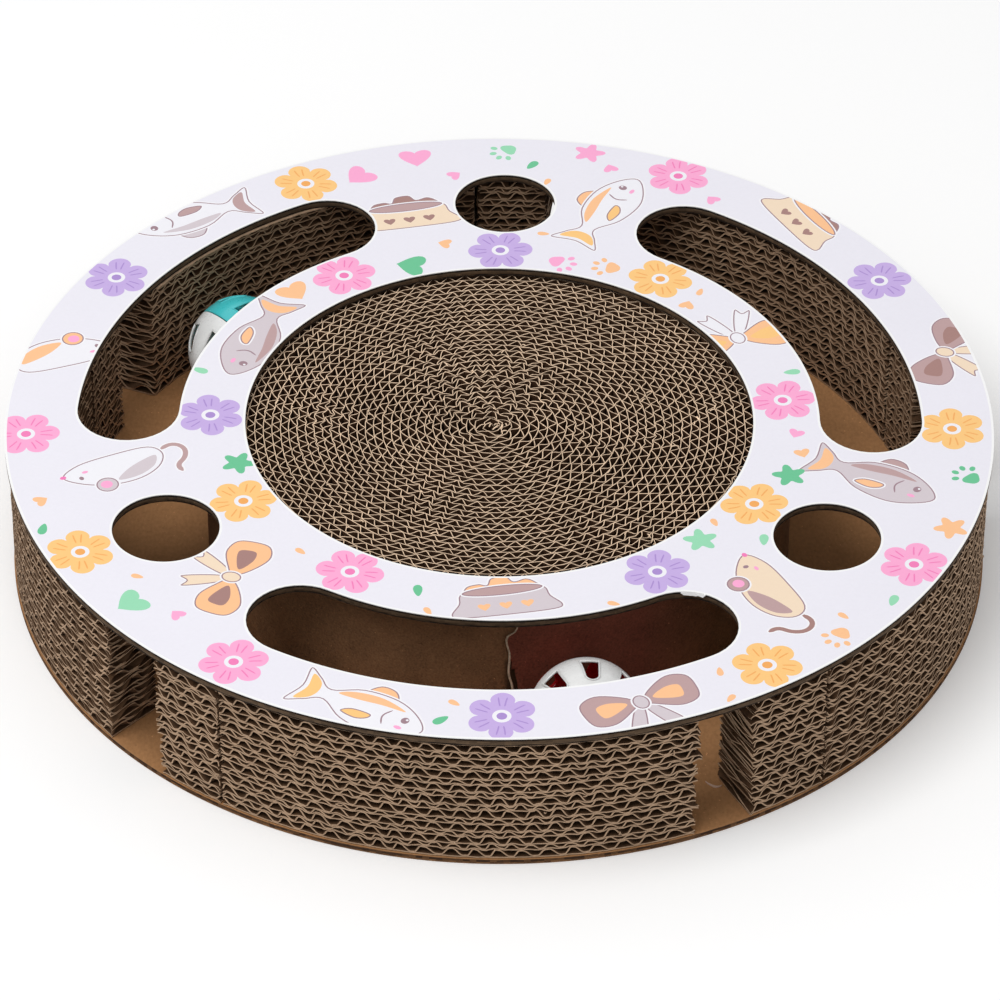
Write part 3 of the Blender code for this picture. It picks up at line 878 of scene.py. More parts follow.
def kidney(middle_angle, grow, steps=70, end_steps=20):
    """A slot along the track with round ends, anticlockwise."""
    half = KIDNEY_SPAN / 2
    width = KIDNEY_HALF_WIDTH + grow
    span = np.linspace(-half, half, steps)
    cap = np.linspace(0.0, 180.0, end_steps)[1:-1]
    outer = (HOLE_RING_RADIUS + width) * turned(span)
    far_end = turned(half) * (HOLE_RING_RADIUS + width * turned(cap))
    inner = (HOLE_RING_RADIUS - width) * turned(span[::-1])
    near_end = turned(-half) * (HOLE_RING_RADIUS + width * turned(cap + 180.0))
    return turned(middle_angle) * np.concatenate([outer, far_end, inner, near_end])


def hole_outlines(grow):
    holes = [ring(OPENING_RADIUS + grow)]
    for angle in np.arange(HOLE_REPEATS) * 360.0 / HOLE_REPEATS:
        holes.append(ring(ROUND_HOLE_RADIUS + grow, 80, HOLE_RING_RADIUS * turned(ROUND_HOLE_ANGLE + angle)))
        holes.append(kidney(KIDNEY_ANGLE + angle, grow))
    return holes


def triangulated(outlines):
    """Triangles that respect every outline, and for each the outlines that it lies in."""
    points = np.concatenate(outlines)
    starts = np.cumsum([0] + [len(outline) for outline in outlines])
    faces = [list(range(first, last)) for first, last in zip(starts[:-1], starts[1:])]
    corners = [Vector((point.real, point.imag)) for point in points]
    places, _, triangles, _, _, inside = delaunay_2d_cdt(corners, [], faces, 1, 1e-7)
    return np.array([complex(*place) for place in places]), triangles, inside


def plate_mesh(name, edge, holes, low, high, profile):
    """A board with its holes. profile goes down its cut edge in steps, as PANEL_EDGE says."""
    bm = bmesh.new()
    dark = bm.faces.layers.float.new("edge")
    flush = [edge(0.0), *holes(0.0)]
    rows = [[edge(-depth), *holes(depth)] for depth, _, _ in profile]
    places, triangles, inside = triangulated(rows[0])
    for z, order in ((high, 1), (low, -1)):
        corners = [bm.verts.new((place.real, place.imag, z)) for place in places]
        for triangle, owners in zip(triangles, inside):
            if list(owners) == [0]:
                bm.faces.new([corners[index] for index in triangle][::order])
    rng = np.random.default_rng(4)
    for index, outline in enumerate(flush):
        count = len(outline)
        verts = []
        for row, (_, drop, _) in zip(rows, profile):
            rough = rng.random(count)
            rough = (rough + np.roll(rough, 1)) * EDGE_ROUGHNESS - EDGE_ROUGHNESS
            if drop in (0.0, 1.0):
                rough = rough * 0.0
            points = outline + (row[index] - outline) * (1.0 + rough)
            verts.append([bm.verts.new((p.real, p.imag, high + (low - high) * drop)) for p in points])
        for upper, lower, (_, _, shade) in zip(verts[:-1], verts[1:], profile):
            for here in range(count):
                there = (here + 1) % count
                quad = (upper[here], lower[here], lower[there], upper[there])
                face = bm.faces.new(quad if index == 0 else quad[::-1])
                face[dark] = min(1.0, max(0.0, shade + rng.uniform(-EDGE_SHADE_STRAY, EDGE_SHADE_STRAY)))
    bmesh.ops.remove_doubles(bm, verts=bm.verts, dist=MERGE_DISTANCE)
    mesh = mesh_from(bm, name)
    smooth(mesh, 35.0)
    return mesh


def shred_mesh(floor_z):
    """A bent shred of paper, broadest in its middle."""
    place = SHRED_RADIUS * turned(SHRED_ANGLE)
    start, bend, end = (place + complex(x, y) * 0.001 for x, y in SHRED_PATH)
    across = 1j * (end - start) / abs(end - start)
    corners = []
    for share in np.linspace(0.0, 1.0, SHRED_STEPS + 1):
        middle = start + (end - start) * share + (bend - (start + end) / 2) * 4 * share * (1 - share)
        half = across * (SHRED_END_WIDTH + SHRED_WIDTH * math.sin(math.pi * share))
        corners += [(p.real, p.imag, floor_z + SHRED_THICKNESS) for p in (middle - half, middle + half)]
    mesh = bpy.data.meshes.new("shred")
    mesh.from_pydata(corners, [], [(2 * i, 2 * i + 2, 2 * i + 3, 2 * i + 1) for i in range(SHRED_STEPS)])
    return mesh


def make_boards(base_material, panel_material, shred_material):
    low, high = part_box("base_disc")
    outline = partial(outlined, high.x)
    base = plate_mesh("base", outline, lambda grow: [], low.z, high.z, BASE_EDGE)
    add_piece("base_sheet", base, base_material, "root", "base_board", "base_disc")
    piece = add_piece("paper_shred", shred_mesh(high.z), shred_material, "root", "band_paper")
    thicken(piece, SHRED_THICKNESS, -1.0)
    low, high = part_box("top_panel")
    outline = partial(outlined, high.x)
    panel = plate_mesh("panel", outline, hole_outlines, low.z, high.z, PANEL_EDGE)
    add_piece("panel_sheet", panel, panel_material, "root", "panel_board", "top_panel")


# Printed face


def grown(outline, distance):
    """The outline moved outward by a distance. It runs anticlockwise."""
    run = np.roll(outline, -1) - np.roll(outline, 1)
    return outline - 1j * run / np.maximum(abs(run), 1e-9) * distance


def inked(shape, ink, line="line"):
    """A shape with its printed line and the pale halo round it, lowest layer first."""
    return [(grown(shape, HALO_WIDTH), "halo"), (shape, line), (grown(shape, -LINE_WIDTH), ink)]


def full_turn(count):
    return 2 * np.pi * np.arange(count) / count


def oval(width, height, count=26, centre=0j):
    turn = full_turn(count)
    return centre + width / 2 * np.cos(turn) + 1j * height / 2 * np.sin(turn)


def rounded(points, size, steps=5):
    """A closed smooth outline through points given as x and y in shares of the size, turned anticlockwise."""
    knots = np.array([complex(x, y) for x, y in points]) * size
    area = (knots.conj() * np.roll(knots, -1)).imag.sum()
    knots = knots if area > 0 else knots[::-1]
    before, after, beyond = (np.roll(knots, shift) for shift in (1, -1, -2))
    share = np.arange(steps)[:, None] / steps
    curve = knots + share * (after - before) / 2
    curve = curve + share**2 * (before - 2.5 * knots + 2 * after - beyond / 2)
    curve = curve + share**3 * (1.5 * knots - before / 2 - 1.5 * after + beyond / 2)
    return curve.T.ravel()


def stroke(points, size, width):
    """A drawn line of a width through points, as a closed outline with tapered ends."""
    path = np.array([complex(x, y) for x, y in points])
    share = np.linspace(0, len(path) - 1, 4 * len(path))
    path = np.interp(share, range(len(path)), path.real) + 1j * np.interp(share, range(len(path)), path.imag)
    path = np.convolve(np.pad(path, 2, mode="edge"), np.ones(5) / 5, mode="valid") * size
    run = np.gradient(path)
    across = 1j * run / np.maximum(abs(run), 1e-9) * width / 2
    last = len(path) - 1
    across = across * np.interp(np.arange(last + 1), [0, 2, last - 2, last], [0.3, 1.0, 1.0, 0.3])
    return np.concatenate([path - across, (path + across)[::-1]])


# Outlines of the print's motifs, as shares of a motif's size
FISH = [(0.5, -0.01), (0.4, 0.11), (0.2, 0.19), (-0.06, 0.17), (-0.26, 0.06), (-0.38, 0.13),
        (-0.5, 0.19), (-0.46, 0.0), (-0.5, -0.19), (-0.38, -0.13), (-0.26, -0.06), (-0.06, -0.17),
        (0.2, -0.2), (0.4, -0.12)]
FISH_BACK = [(0.3, 0.11), (0.1, 0.155), (-0.1, 0.12), (-0.2, 0.05), (-0.05, 0.06), (0.12, 0.09)]
FISH_TAIL = [(-0.36, 0.09), (-0.45, 0.14), (-0.42, 0.0), (-0.45, -0.14), (-0.36, -0.09), (-0.33, 0.0)]
FISH_GILL = [(0.22, 0.09), (0.17, 0.0), (0.22, -0.09)]
FISH_SIDE_FIN = [(0.1, -0.03), (-0.04, -0.04), (-0.1, -0.1), (0.02, -0.12), (0.1, -0.08)]
FISH_FIN = [(-0.04, 0.15), (0.02, 0.26), (0.14, 0.26), (0.2, 0.17), (0.08, 0.14)]
MOUSE = [(0.44, -0.08), (0.32, 0.06), (0.12, 0.15), (-0.1, 0.16), (-0.28, 0.08), (-0.36, -0.06),
         (-0.28, -0.18), (0.0, -0.2), (0.28, -0.18)]
MOUSE_BACK = [(0.06, 0.11), (-0.1, 0.12), (-0.25, 0.05), (-0.3, -0.06), (-0.18, -0.04), (-0.04, 0.02)]
MOUSE_TAIL = [(-0.34, -0.1), (-0.46, -0.15), (-0.54, -0.06), (-0.5, 0.06), (-0.4, 0.12), (-0.42, 0.22)]
BOW_LOOP = [(0.02, 0.0), (0.1, 0.1), (0.28, 0.19), (0.42, 0.14), (0.44, 0.0), (0.4, -0.12), (0.26, -0.15),
            (0.1, -0.07)]
BOW_FOLD = [(0.1, 0.02), (0.22, 0.08), (0.32, 0.07), (0.33, 0.0), (0.3, -0.06), (0.2, -0.04)]
BOW_TAIL = [(0.0, 0.0), (0.1, -0.08), (0.22, -0.3), (0.15, -0.29), (0.11, -0.35), (0.02, -0.14)]
BOWL = [(-0.29, 0.06), (-0.34, -0.06), (-0.41, -0.17), (-0.34, -0.22), (0.0, -0.23), (0.34, -0.22),
        (0.41, -0.17), (0.34, -0.06), (0.29, 0.06), (0.0, 0.05)]
HEAP = [(-0.26, 0.06), (-0.25, 0.13), (-0.16, 0.15), (-0.1, 0.13), (-0.06, 0.2), (0.05, 0.21), (0.1, 0.14),
        (0.19, 0.16), (0.25, 0.12), (0.26, 0.06), (0.0, 0.03)]
FLOWER_VEIN = [(0.2, 0.0), (0.3, 0.004), (0.42, 0.0)]
PAW_TOES = [(28, 0.36), (70, 0.38), (110, 0.38), (152, 0.36)]


def dot(size, width, height, centre, ink, count):
    """A printed oval. Its sizes and its place are shares of the motif's size."""
    return oval(width * size, height * size, count, size * centre), ink


# Each motif takes its size and three inks, and gives its layers with their inks, lowest first


def fish(size, back, belly, patch):
    layers = inked(rounded(FISH_FIN, size), back) + inked(rounded(FISH, size), belly)
    layers += [(rounded(FISH_BACK, size), back), (rounded(FISH_TAIL, size), patch)]
    layers += [(stroke(FISH_GILL, size, 0.012 * size), "line")]
    layers += inked(rounded(FISH_SIDE_FIN, size), patch)
    layers += [dot(size, 0.058, 0.066, 0.34 + 0.03j, "line", 16)]
    layers += [dot(size, 0.02, 0.02, 0.35 + 0.042j, "white", 10)]
    return layers + [dot(size, 0.06, 0.034, 0.33 - 0.055j, "pink", 12)]


def mouse(size, back, belly, patch):
    tail = stroke(MOUSE_TAIL, size, 0.04 * size)
    layers = [(grown(tail, HALO_WIDTH), "halo"), (tail, patch)]
    layers += inked(rounded(MOUSE, size), belly) + [(rounded(MOUSE_BACK, size), back)]
    layers += inked(dot(size, 0.17, 0.17, 0.16 + 0.13j, back, 22)[0], back)
    layers += [dot(size, 0.09, 0.09, 0.165 + 0.125j, "pink", 16)]
    layers += [dot(size, 0.035, 0.045, 0.31 - 0.02j, "line", 14)]
    layers += [dot(size, 0.05, 0.04, 0.435 - 0.08j, "deep_pink", 14)]
    return layers + [dot(size, 0.05, 0.03, 0.26 - 0.08j, "pink", 12)]


def bow(size, back, belly, patch):
    layers = []
    for side in (1, -1):
        layers += inked(rounded([(x * side, y) for x, y in BOW_TAIL], size), belly)
    for side in (1, -1):
        layers += inked(rounded([(x * side, y) for x, y in BOW_LOOP], size), back)
        layers.append((rounded([(x * side, y) for x, y in BOW_FOLD], size), patch))
    return layers + inked(oval(0.12 * size, 0.15 * size, 22), belly)


def dish(size, back, belly, patch):
    layers = inked(rounded(HEAP, size), patch) + inked(rounded(BOWL, size), belly)
    layers += inked(oval(0.6 * size, 0.11 * size, 34, 0.055j * size), back)
    for place in (-0.16, 0.0, 0.16):
        layers.append((size * (place - 0.115j) + heart(0.1 * size, patch, "", "")[0][0], patch))
    return layers


def flower(size, back, belly, patch):
    turn = full_turn(120)
    layers = [(size * (0.33 + 0.17 * abs(np.cos(3 * turn)) ** 0.6) * np.exp(1j * turn), back)]
    for index in range(6):
        for lean in (-9, 9):
            layers.append((stroke(FLOWER_VEIN, size, 0.022 * size) * turned(60 * index + lean), belly))
    return layers + [dot(size, 0.27, 0.27, 0j, patch, 24), dot(size, 0.15, 0.15, 0j, belly, 18)]


def paw(size, back, belly, patch):
    turn = full_turn(26)
    reach = 0.25 + 0.03 * np.cos(3 * turn - np.pi / 2)
    pad = size * (-0.12j + reach * (np.cos(turn) + 0.8j * np.sin(turn)))
    layers = [(pad, back)]
    for angle, reach in PAW_TOES:
        toe = (reach * turned(angle) + oval(0.16, 0.21, 14) * turned(angle - 90)) * size
        layers.append((toe, back))
    return layers


def heart(size, back, belly, patch):
    turn = full_turn(34)
    shape = 16 * np.sin(turn) ** 3 + 1j * (13 * np.cos(turn) - 5 * np.cos(2 * turn) - 2 * np.cos(3 * turn))
    return [(shape[::-1] * size / 34, back)]


def star(size, back, belly, patch):
    turn = full_turn(50)
    return [(size * (0.36 + 0.11 * np.cos(5 * turn)) * np.exp(1j * turn), back)]


def drop(size, back, belly, patch):
    turn = full_turn(18)
    return [(size * (0.5 * np.cos(turn) + 0.34j * np.sin(turn) * (0.75 + 0.25 * np.cos(turn))), back)]


BIG_SETS = [("peach", "white", "orange"), ("mauve", "cream", "brown"), ("grey", "white", "mauve"),
            ("peach", "cream", "brown"), ("mauve", "grey", "peach")]
ROUND_SETS = [("lilac", "deep_lilac", "white"), ("pink", "deep_pink", "white"),
              ("orange", "deep_orange", "white")]
SMALL_SETS = [("mint", "mint", "deep_mint"), ("peach", "peach", "orange"), ("deep_mint", "mint", "mint"),
              ("pink", "pink", "white")]

# Big motifs and flowers: kind, angle and radius of its middle, how far it is turned, and its colour set
BIG_MOTIFS = [
    ("fish", 73.0, 0.131, 60.0, 0), ("dish", 105.5, 0.129, 12.0, 1), ("mouse", 193.5, 0.134, 205.0, 2),
    ("bow", 225.0, 0.127, 250.0, 3), ("mouse", 313.0, 0.131, 118.0, 1), ("fish", 345.5, 0.133, 331.0, 4),
    ("bow", 14.0, 0.163, 70.0, 1), ("dish", 47.0, 0.166, 300.0, 3), ("fish", 133.0, 0.165, 205.0, 2),
    ("mouse", 167.0, 0.161, 20.0, 0), ("fish", 254.0, 0.163, 330.0, 0), ("bow", 287.0, 0.1605, 25.0, 4),
    ("bow", 29.0, 0.097, 200.0, 0), ("fish", 152.0, 0.098, 250.0, 4), ("dish", 271.0, 0.0985, 10.0, 4),
]
FLOWERS = [("flower", *place) for place in (
    (31.0, 0.160, 10.0, 0), (66.0, 0.162, 33.0, 1), (117.0, 0.159, 50.0, 2), (149.5, 0.161, 25.0, 0),
    (184.0, 0.165, 5.0, 1), (208.5, 0.161, 40.0, 2), (237.0, 0.160, 12.0, 1), (270.5, 0.161, 28.0, 0),
    (303.5, 0.161, 50.0, 2), (330.0, 0.162, 18.0, 1), (358.0, 0.158, 30.0, 2), (6.0, 0.100, 12.0, 1),
    (55.0, 0.101, 44.0, 2), (90.0, 0.100, 5.0, 0), (124.0, 0.101, 21.0, 1), (180.0, 0.101, 38.0, 0),
    (209.0, 0.100, 15.0, 2), (240.0, 0.100, 48.0, 1), (302.0, 0.101, 24.0, 0), (331.0, 0.100, 8.0, 2),
)]
DRAWN = {"fish": (fish, 0.048, 0.0215), "mouse": (mouse, 0.046, 0.021), "bow": (bow, 0.046, 0.0205),
         "dish": (dish, 0.046, 0.0205), "flower": (flower, 0.0235, 0.0125)}

# Small motifs, strewn where there is room: kinds, size, colours, room that each takes, and tries
STREWN = [
    ((paw, heart, star), 0.0130, SMALL_SETS, 0.0068, 260),
    ((drop, heart), 0.0060, SMALL_SETS, 0.0042, 200),
    ((drop,), 0.0044, SMALL_SETS[1:], 0.0036, 130),
]


def on_board(place, margin):
    """Whether a place is on the panel, clear of its edges and holes by a margin."""
    if not OPENING_RADIUS + margin < abs(place) < PRINT_RADIUS - margin:
        return False
    for angle in np.arange(HOLE_REPEATS) * 360.0 / HOLE_REPEATS:
        if abs(place - HOLE_RING_RADIUS * turned(ROUND_HOLE_ANGLE + angle)) < ROUND_HOLE_RADIUS + margin:
            return False
        local = place * turned(-KIDNEY_ANGLE - angle)
        nearest = min(max(math.degrees(np.angle(local)), -KIDNEY_SPAN / 2), KIDNEY_SPAN / 2)
        if abs(local - HOLE_RING_RADIUS * turned(nearest)) < KIDNEY_HALF_WIDTH + margin:
            return False
    return True


def motif_layers():
    """The shapes of the print with their inks, lowest first."""
    rng = random.Random(11)
    layers = []
    taken = []
    for colour_sets, motifs in ((BIG_SETS, BIG_MOTIFS), (ROUND_SETS, FLOWERS)):
        for kind, angle, radius, turn, colour in motifs:
            draw, size, room = DRAWN[kind]
            place = radius * turned(angle)
            taken.append((place, room))
            drawn = draw(size, *colour_sets[colour])
            layers += [(place + shape * turned(turn), ink) for shape, ink in drawn]
    for kinds, size, colour_sets, room, tries in STREWN:
        number = 0
        for _ in range(tries):
            place = rng.uniform(OPENING_RADIUS, PRINT_RADIUS) * turned(rng.uniform(0, 360))
            turn = turned(rng.uniform(0, 360))
            crowded = any(abs(place - other) < room + reach for other, reach in taken)
            if crowded or not on_board(place, room * 0.6):
                continue
            taken.append((place, room))
            number += 1
            drawn = kinds[number % len(kinds)](size, *colour_sets[number * 3 % len(colour_sets)])
            layers += [(place + shape * turn, ink) for shape, ink in drawn]
    return layers


def torn_edge(top):
    """Triangles of a torn bit of the face paper that hangs over the front slot's edge."""
    rng = random.Random(5)
    end = turned(KIDNEY_ANGLE + 240.0 + KIDNEY_SPAN / 2) * HOLE_RING_RADIUS
    angles = np.linspace(*TORN_SPAN, 11)
    rim, foot = ([end + (KIDNEY_HALF_WIDTH - inset) * turned(angle) for angle in angles]
                 for inset in TORN_INSETS)
    drops = [TORN_DROP * rng.uniform(0.75, 1.0) for _ in angles[2:]]
    drops = [TORN_END_DROPS[0], *drops, TORN_END_DROPS[1]]
    upper = [(place.real, place.imag, top) for place in rim]
    lower = [(place.real, place.imag, top - fall) for place, fall in zip(foot, drops)]
    triangles = []
    for here in range(len(angles) - 1):
        triangles.append([upper[here], lower[here], lower[here + 1]])
        triangles.append([upper[here], lower[here + 1], upper[here + 1]])
    return triangles


def make_print(material):
    low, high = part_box("printed_face")
    edge = outlined(high.x, 0.0)
    ground = outlined(high.x, -BORDER_WIDTH)
    borders = hole_outlines(BORDER_WIDTH)
    holes = hole_outlines(0.0)
    layers = motif_layers()
    reach = [abs(shape).min() < high.x and abs(shape).max() > OPENING_RADIUS for shape, _ in layers]
    layers = [layer for layer, keep in zip(layers, reach) if keep]
    outlines = [edge, ground, *[shape for shape, _ in layers], *borders, *holes]
    first_border = 2 + len(layers)
    first_hole = first_border + len(borders)
    places, triangles, inside = triangulated(outlines)
    kept = []
    inks = []
    for triangle, owners in zip(triangles, inside):
        top = max(owners, default=0)
        if 0 not in owners or top >= first_hole:
            continue
        if top >= first_border or 1 not in owners:
            ink = "border"
        else:
            ink = "ground" if top == 1 else layers[top - 2][1]
        kept.append(triangle)
        inks.append(ink)
    corners = [(place.real, place.imag, high.z) for place in places]
    for strip in torn_edge(high.z):
        first = len(corners)
        corners += strip
        kept.append(list(range(first, first + 3)))
        inks.append("border")
    mesh = bpy.data.meshes.new("print")
    mesh.from_pydata(corners, [], kept)
    paint = mesh.color_attributes.new(name="ink", type="FLOAT_COLOR", domain="CORNER")
    colours = [linear(*INKS[ink]) for ink in inks]
    paint.data.foreach_set("color", np.repeat(colours, 3, axis=0).ravel())
    bm = bmesh.new()
    bm.from_mesh(mesh)
    bmesh.ops.delete(bm, geom=[vertex for vertex in bm.verts if not vertex.link_faces], context="VERTS")
    bmesh.ops.remove_doubles(bm, verts=bm.verts, dist=PRINT_MERGE_DISTANCE)
    bm.to_mesh(mesh)
    bm.free()
    piece = add_piece("print_sheet", mesh, material, "root", "printed_paper", "printed_face")
    thicken(piece, high.z - low.z, -1.0)


# Band


def make_band(material):
    """One strip of paper round the coil. Its torn end laps over its beginning and stands off at its foot."""
    low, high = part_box("inner_band")
    base_radius = BAND_OUTER_RADIUS - BAND_THICKNESS / 2
    flap_radius = base_radius + BAND_THICKNESS + BAND_LAP_GAP
    rng = np.random.default_rng(8)
    shares = np.linspace(0.0, 1.0, BAND_ROWS)
    broad, fine = BAND_TEAR
    torn = np.interp(shares, np.linspace(0.0, 1.0, 11), rng.uniform(-broad, broad, 11))
    torn += rng.uniform(-fine, fine, BAND_ROWS)
    torn += np.interp(shares, BAND_CORNER_AT, BAND_CORNER) + (BAND_TILT_MIDDLE - shares) * BAND_TILT
    peel = BAND_PEEL * np.clip(1.0 - shares / BAND_PEEL_SHARE, 0.0, 1.0)
    angles = np.concatenate([[0.0, 0.15, 0.3, 0.6, 1.2, 2.2], np.arange(3.5, 374.0, 1.0)]) + BAND_LAP_START
    angles = angles[angles <= BAND_LAP_END + 360.0]
    lift = np.interp(angles, [BAND_FLAT_END, BAND_RAMP_END], [flap_radius, base_radius])
    redness = np.interp(angles, BAND_RED_SPAN, [1.0, 0.0])
    bm = bmesh.new()
    tone = bm.verts.layers.float_color.new("tone")
    columns = []
    for angle, radius, red in zip(angles, lift, redness):
        past = angle - BAND_LAP_START
        colour = between(Vector(linear(*BOARDS["band_paper"][0])), Vector(linear(*BAND_RED)), red)
        points = []
        for share, tear, stand in zip(shares, torn, peel):
            off = stand * math.exp(-past / BAND_PEEL_FADE)
            place = (radius + off) * turned(angle + tear * math.exp(-past / BAND_TEAR_FADE))
            vert = bm.verts.new((place.real, place.imag, low.z + (high.z - low.z) * share))
            # Painted shade: the band just behind the crack under the flap is darkened, for the shadow in the
            # fold.
            in_painted_shade = BAND_SHADE_SPAN[0] < past - 360.0 < BAND_SHADE_SPAN[1] and share < BAND_SHADE_TOP
            vert[tone] = colour * (BAND_SHADE if in_painted_shade else 1.0)
            points.append(vert)
        columns.append(points)
    torn_mark = bm.faces.layers.float.new("torn")
    for column, (first, second) in enumerate(zip(columns[:-1], columns[1:])):
        for row in range(BAND_ROWS - 1):
            if BAND_CRACK_FOOT <= row < BAND_CRACK_TOPS.get(column, 0):
                continue
            face = bm.faces.new((first[row], second[row], second[row + 1], first[row + 1]))
            face[torn_mark] = 1.0 if column < 2 else 0.0
    mesh = mesh_from(bm, "band")
    mesh.shade_smooth()
    piece = add_piece("band_strip", mesh, material, "root", "band_paper", "inner_band")
    thicken(piece, BAND_THICKNESS, 0.0)


# Balls


def turned_mesh(name, profile, segments):
    """A closed shell turned about Z from points that run down its outer side and back up its inner side."""
    pattern = bpy.data.meshes.new(name)
    edges = [(index, index + 1) for index in range(len(profile) - 1)]
    pattern.from_pydata([(x, 0.0, z) for x, z in profile], edges, [])
    holder = placed(name, pattern)
    turn = holder.modifiers.new("turn", "SCREW")
    turn.steps = segments
    turn.render_steps = segments
    turn.use_merge_vertices = True
    turn.merge_threshold = 0.000005
    return evaluated_mesh(holder)


def cut_mesh(name, solid, cutter):
    """The solid less the cutter."""
    tool = placed(name + "_cutter", cutter)
    holder = placed(name, solid)
    cut = holder.modifiers.new("cut", "BOOLEAN")
    cut.object = tool
    result = evaluated_mesh(holder)
    bpy.data.objects.remove(tool)
    return result


def arc(radius, start, end, count):
    return [(radius * math.cos(math.radians(t)), radius * math.sin(math.radians(t)))
            for t in np.linspace(start, end, count)]


def petal_points():
    """A slot's outline in the plane that touches the ball: a flat edge, drawn-in sides and a round tip."""
    tip = PETAL_TIP_WIDTH / 2
    corner = PETAL_BASE_WIDTH / 2
    foot_y = -PETAL_LENGTH / 2
    tip_y = PETAL_LENGTH / 2 - tip
    round_tip = [(tip * math.cos(t), tip_y + tip * math.sin(t)) for t in np.linspace(0, math.pi, 14)]
    sides = np.linspace(0.0, 1.0, 6)[:-1]
    right = [(corner + (tip - corner) * s, foot_y + (tip_y - foot_y) * s) for s in sides]
    left = [(-x, y) for x, y in right[::-1]]
    base = [(x, foot_y) for x in np.linspace(-corner, corner, 6)[1:-1]]
    return right + round_tip + left + base


def prism_mesh(outline, low, high):
    bm = bmesh.new()
    face = bm.faces.new([bm.verts.new((x, y, low)) for x, y in outline])
    extruded = bmesh.ops.extrude_face_region(bm, geom=[face])
    top = [item for item in extruded["geom"] if isinstance(item, bmesh.types.BMVert)]
    bmesh.ops.translate(bm, verts=top, vec=(0.0, 0.0, high - low))
    bmesh.ops.recalc_face_normals(bm, faces=bm.faces)
    return mesh_from(bm, "prism")


def lips_tree():
    """The rounded lip of each slot: one closed loop with a thickness, repeated round the ball's axis."""
    tree, entry, result, size = geometry_tree("slot_lips", ("Lip Radius",), ("Count",))
    loop = add_node(tree, "GeometryNodeObjectInfo", {"Object": bpy.data.objects["lip_loop"]})
    path = add_node(tree, "GeometryNodeMeshToCurve", {0: loop.outputs["Geometry"]})
    section = add_node(tree, "GeometryNodeCurvePrimitiveCircle",
                       {"Resolution": 8, "Radius": size["Lip Radius"]}).outputs[0]
    tube = add_node(tree, "GeometryNodeCurveToMesh", {0: path.outputs[0], "Profile Curve": section})
    lips, index = instances(tree, tube.outputs[0], size["Count"])
    turn = add_node(tree, "ShaderNodeCombineXYZ", {2: index / size["Count"] * (2 * math.pi)})
    spread = add_node(tree, "GeometryNodeRotateInstances",
                      {"Instances": lips, "Rotation": turn.outputs[0], "Local Space": False})
    real = add_node(tree, "GeometryNodeRealizeInstances", {0: spread.outputs[0]})
    return joined_tree(tree, entry, result, [real.outputs[0]])


def slot_frame():
    """Takes a slot's flat plane to its place on the ball, with the slot's tip towards the pole."""
    tilt = Matrix.Rotation(math.radians(PETAL_POLAR), 4, "Y")
    return tilt @ Matrix.Rotation(math.radians(90.0), 4, "Z")


def half_shell_mesh():
    """Half a hollow ball about +Z with its slots and rounded rim, without a material."""
    inner_radius = BALL_RADIUS - BALL_WALL
    rim = BALL_SEAM / 2
    outer = arc(BALL_RADIUS, 90.0, math.degrees(math.asin((rim + RIM_BEVEL) / BALL_RADIUS)), 34)
    edge = [(BALL_RADIUS - RIM_BEVEL * 0.3, rim + RIM_BEVEL * 0.3), (BALL_RADIUS - RIM_BEVEL, rim)]
    inner = arc(inner_radius, math.degrees(math.asin(rim / inner_radius)), 90.0, 30)
    shell = turned_mesh("half_shell", outer + edge + inner, 112)
    prism = prism_mesh(petal_points(), BALL_RADIUS - 3 * BALL_WALL, BALL_RADIUS + BALL_WALL)
    bm = bmesh.new()
    for index in range(PETAL_COUNT):
        copy = prism.copy()
        copy.transform(Matrix.Rotation(2 * math.pi * index / PETAL_COUNT, 4, "Z") @ slot_frame())
        bm.from_mesh(copy)
    return cut_mesh("half_shell", shell, mesh_from(bm, "petal_cutters"))


def lip_mesh(material):
    """The lips round one half's slots. Their tree reads the loop by its name."""
    outline = petal_points()
    loop = bpy.data.meshes.new("lip_loop")
    lifted = [(x, y, math.sqrt(BALL_RADIUS**2 - x * x - y * y) - LIP_RADIUS * LIP_SINK) for x, y in outline]
    loop.from_pydata(lifted, [(index, (index + 1) % len(lifted)) for index in range(len(lifted))], [])
    loop.transform(slot_frame())
    holder = placed("lip_loop", loop)
    sizes = {"Lip Radius": LIP_RADIUS, "Count": PETAL_COUNT, "Material": material}
    mesh = grown_mesh("slot_lips", lips_tree(), sizes)
    bpy.data.objects.remove(holder)
    return mesh


def joined(name, meshes):
    bm = bmesh.new()
    for mesh in meshes:
        bm.from_mesh(mesh)
    bm.normal_update()
    return mesh_from(bm, name)


def bell_mesh():
    """A hollow ball with a ridge round its middle, and a hole and a slot in its underside."""
    inner_radius = BELL_RADIUS - BELL_WALL
    hole, inner_hole = (math.degrees(math.asin(BELL_HOLE_RADIUS / radius)) - 90.0
                        for radius in (BELL_RADIUS, inner_radius))
    out, half = BELL_RIDGE
    ridge = [(BELL_RADIUS + out, half), (BELL_RADIUS + out, -half)]
    outer = arc(BELL_RADIUS, 90.0, 3.0, 20) + ridge + arc(BELL_RADIUS, -3.0, hole, 20)
    shell = turned_mesh("bell", outer + arc(inner_radius, inner_hole, 90.0, 24), 48)
    x, y = (side / 2 for side in BELL_SLOT)
    slot = prism_mesh([(x, -y), (x, y), (-x, y), (-x, -y)], -1.5 * BELL_RADIUS, -0.5 * BELL_RADIUS)
    return cut_mesh("bell", shell, slot)


def pellet_mesh():
    bm = bmesh.new()
    bmesh.ops.create_icosphere(bm, subdivisions=3, radius=PELLET_RADIUS)
    return mesh_from(bm, "pellet")


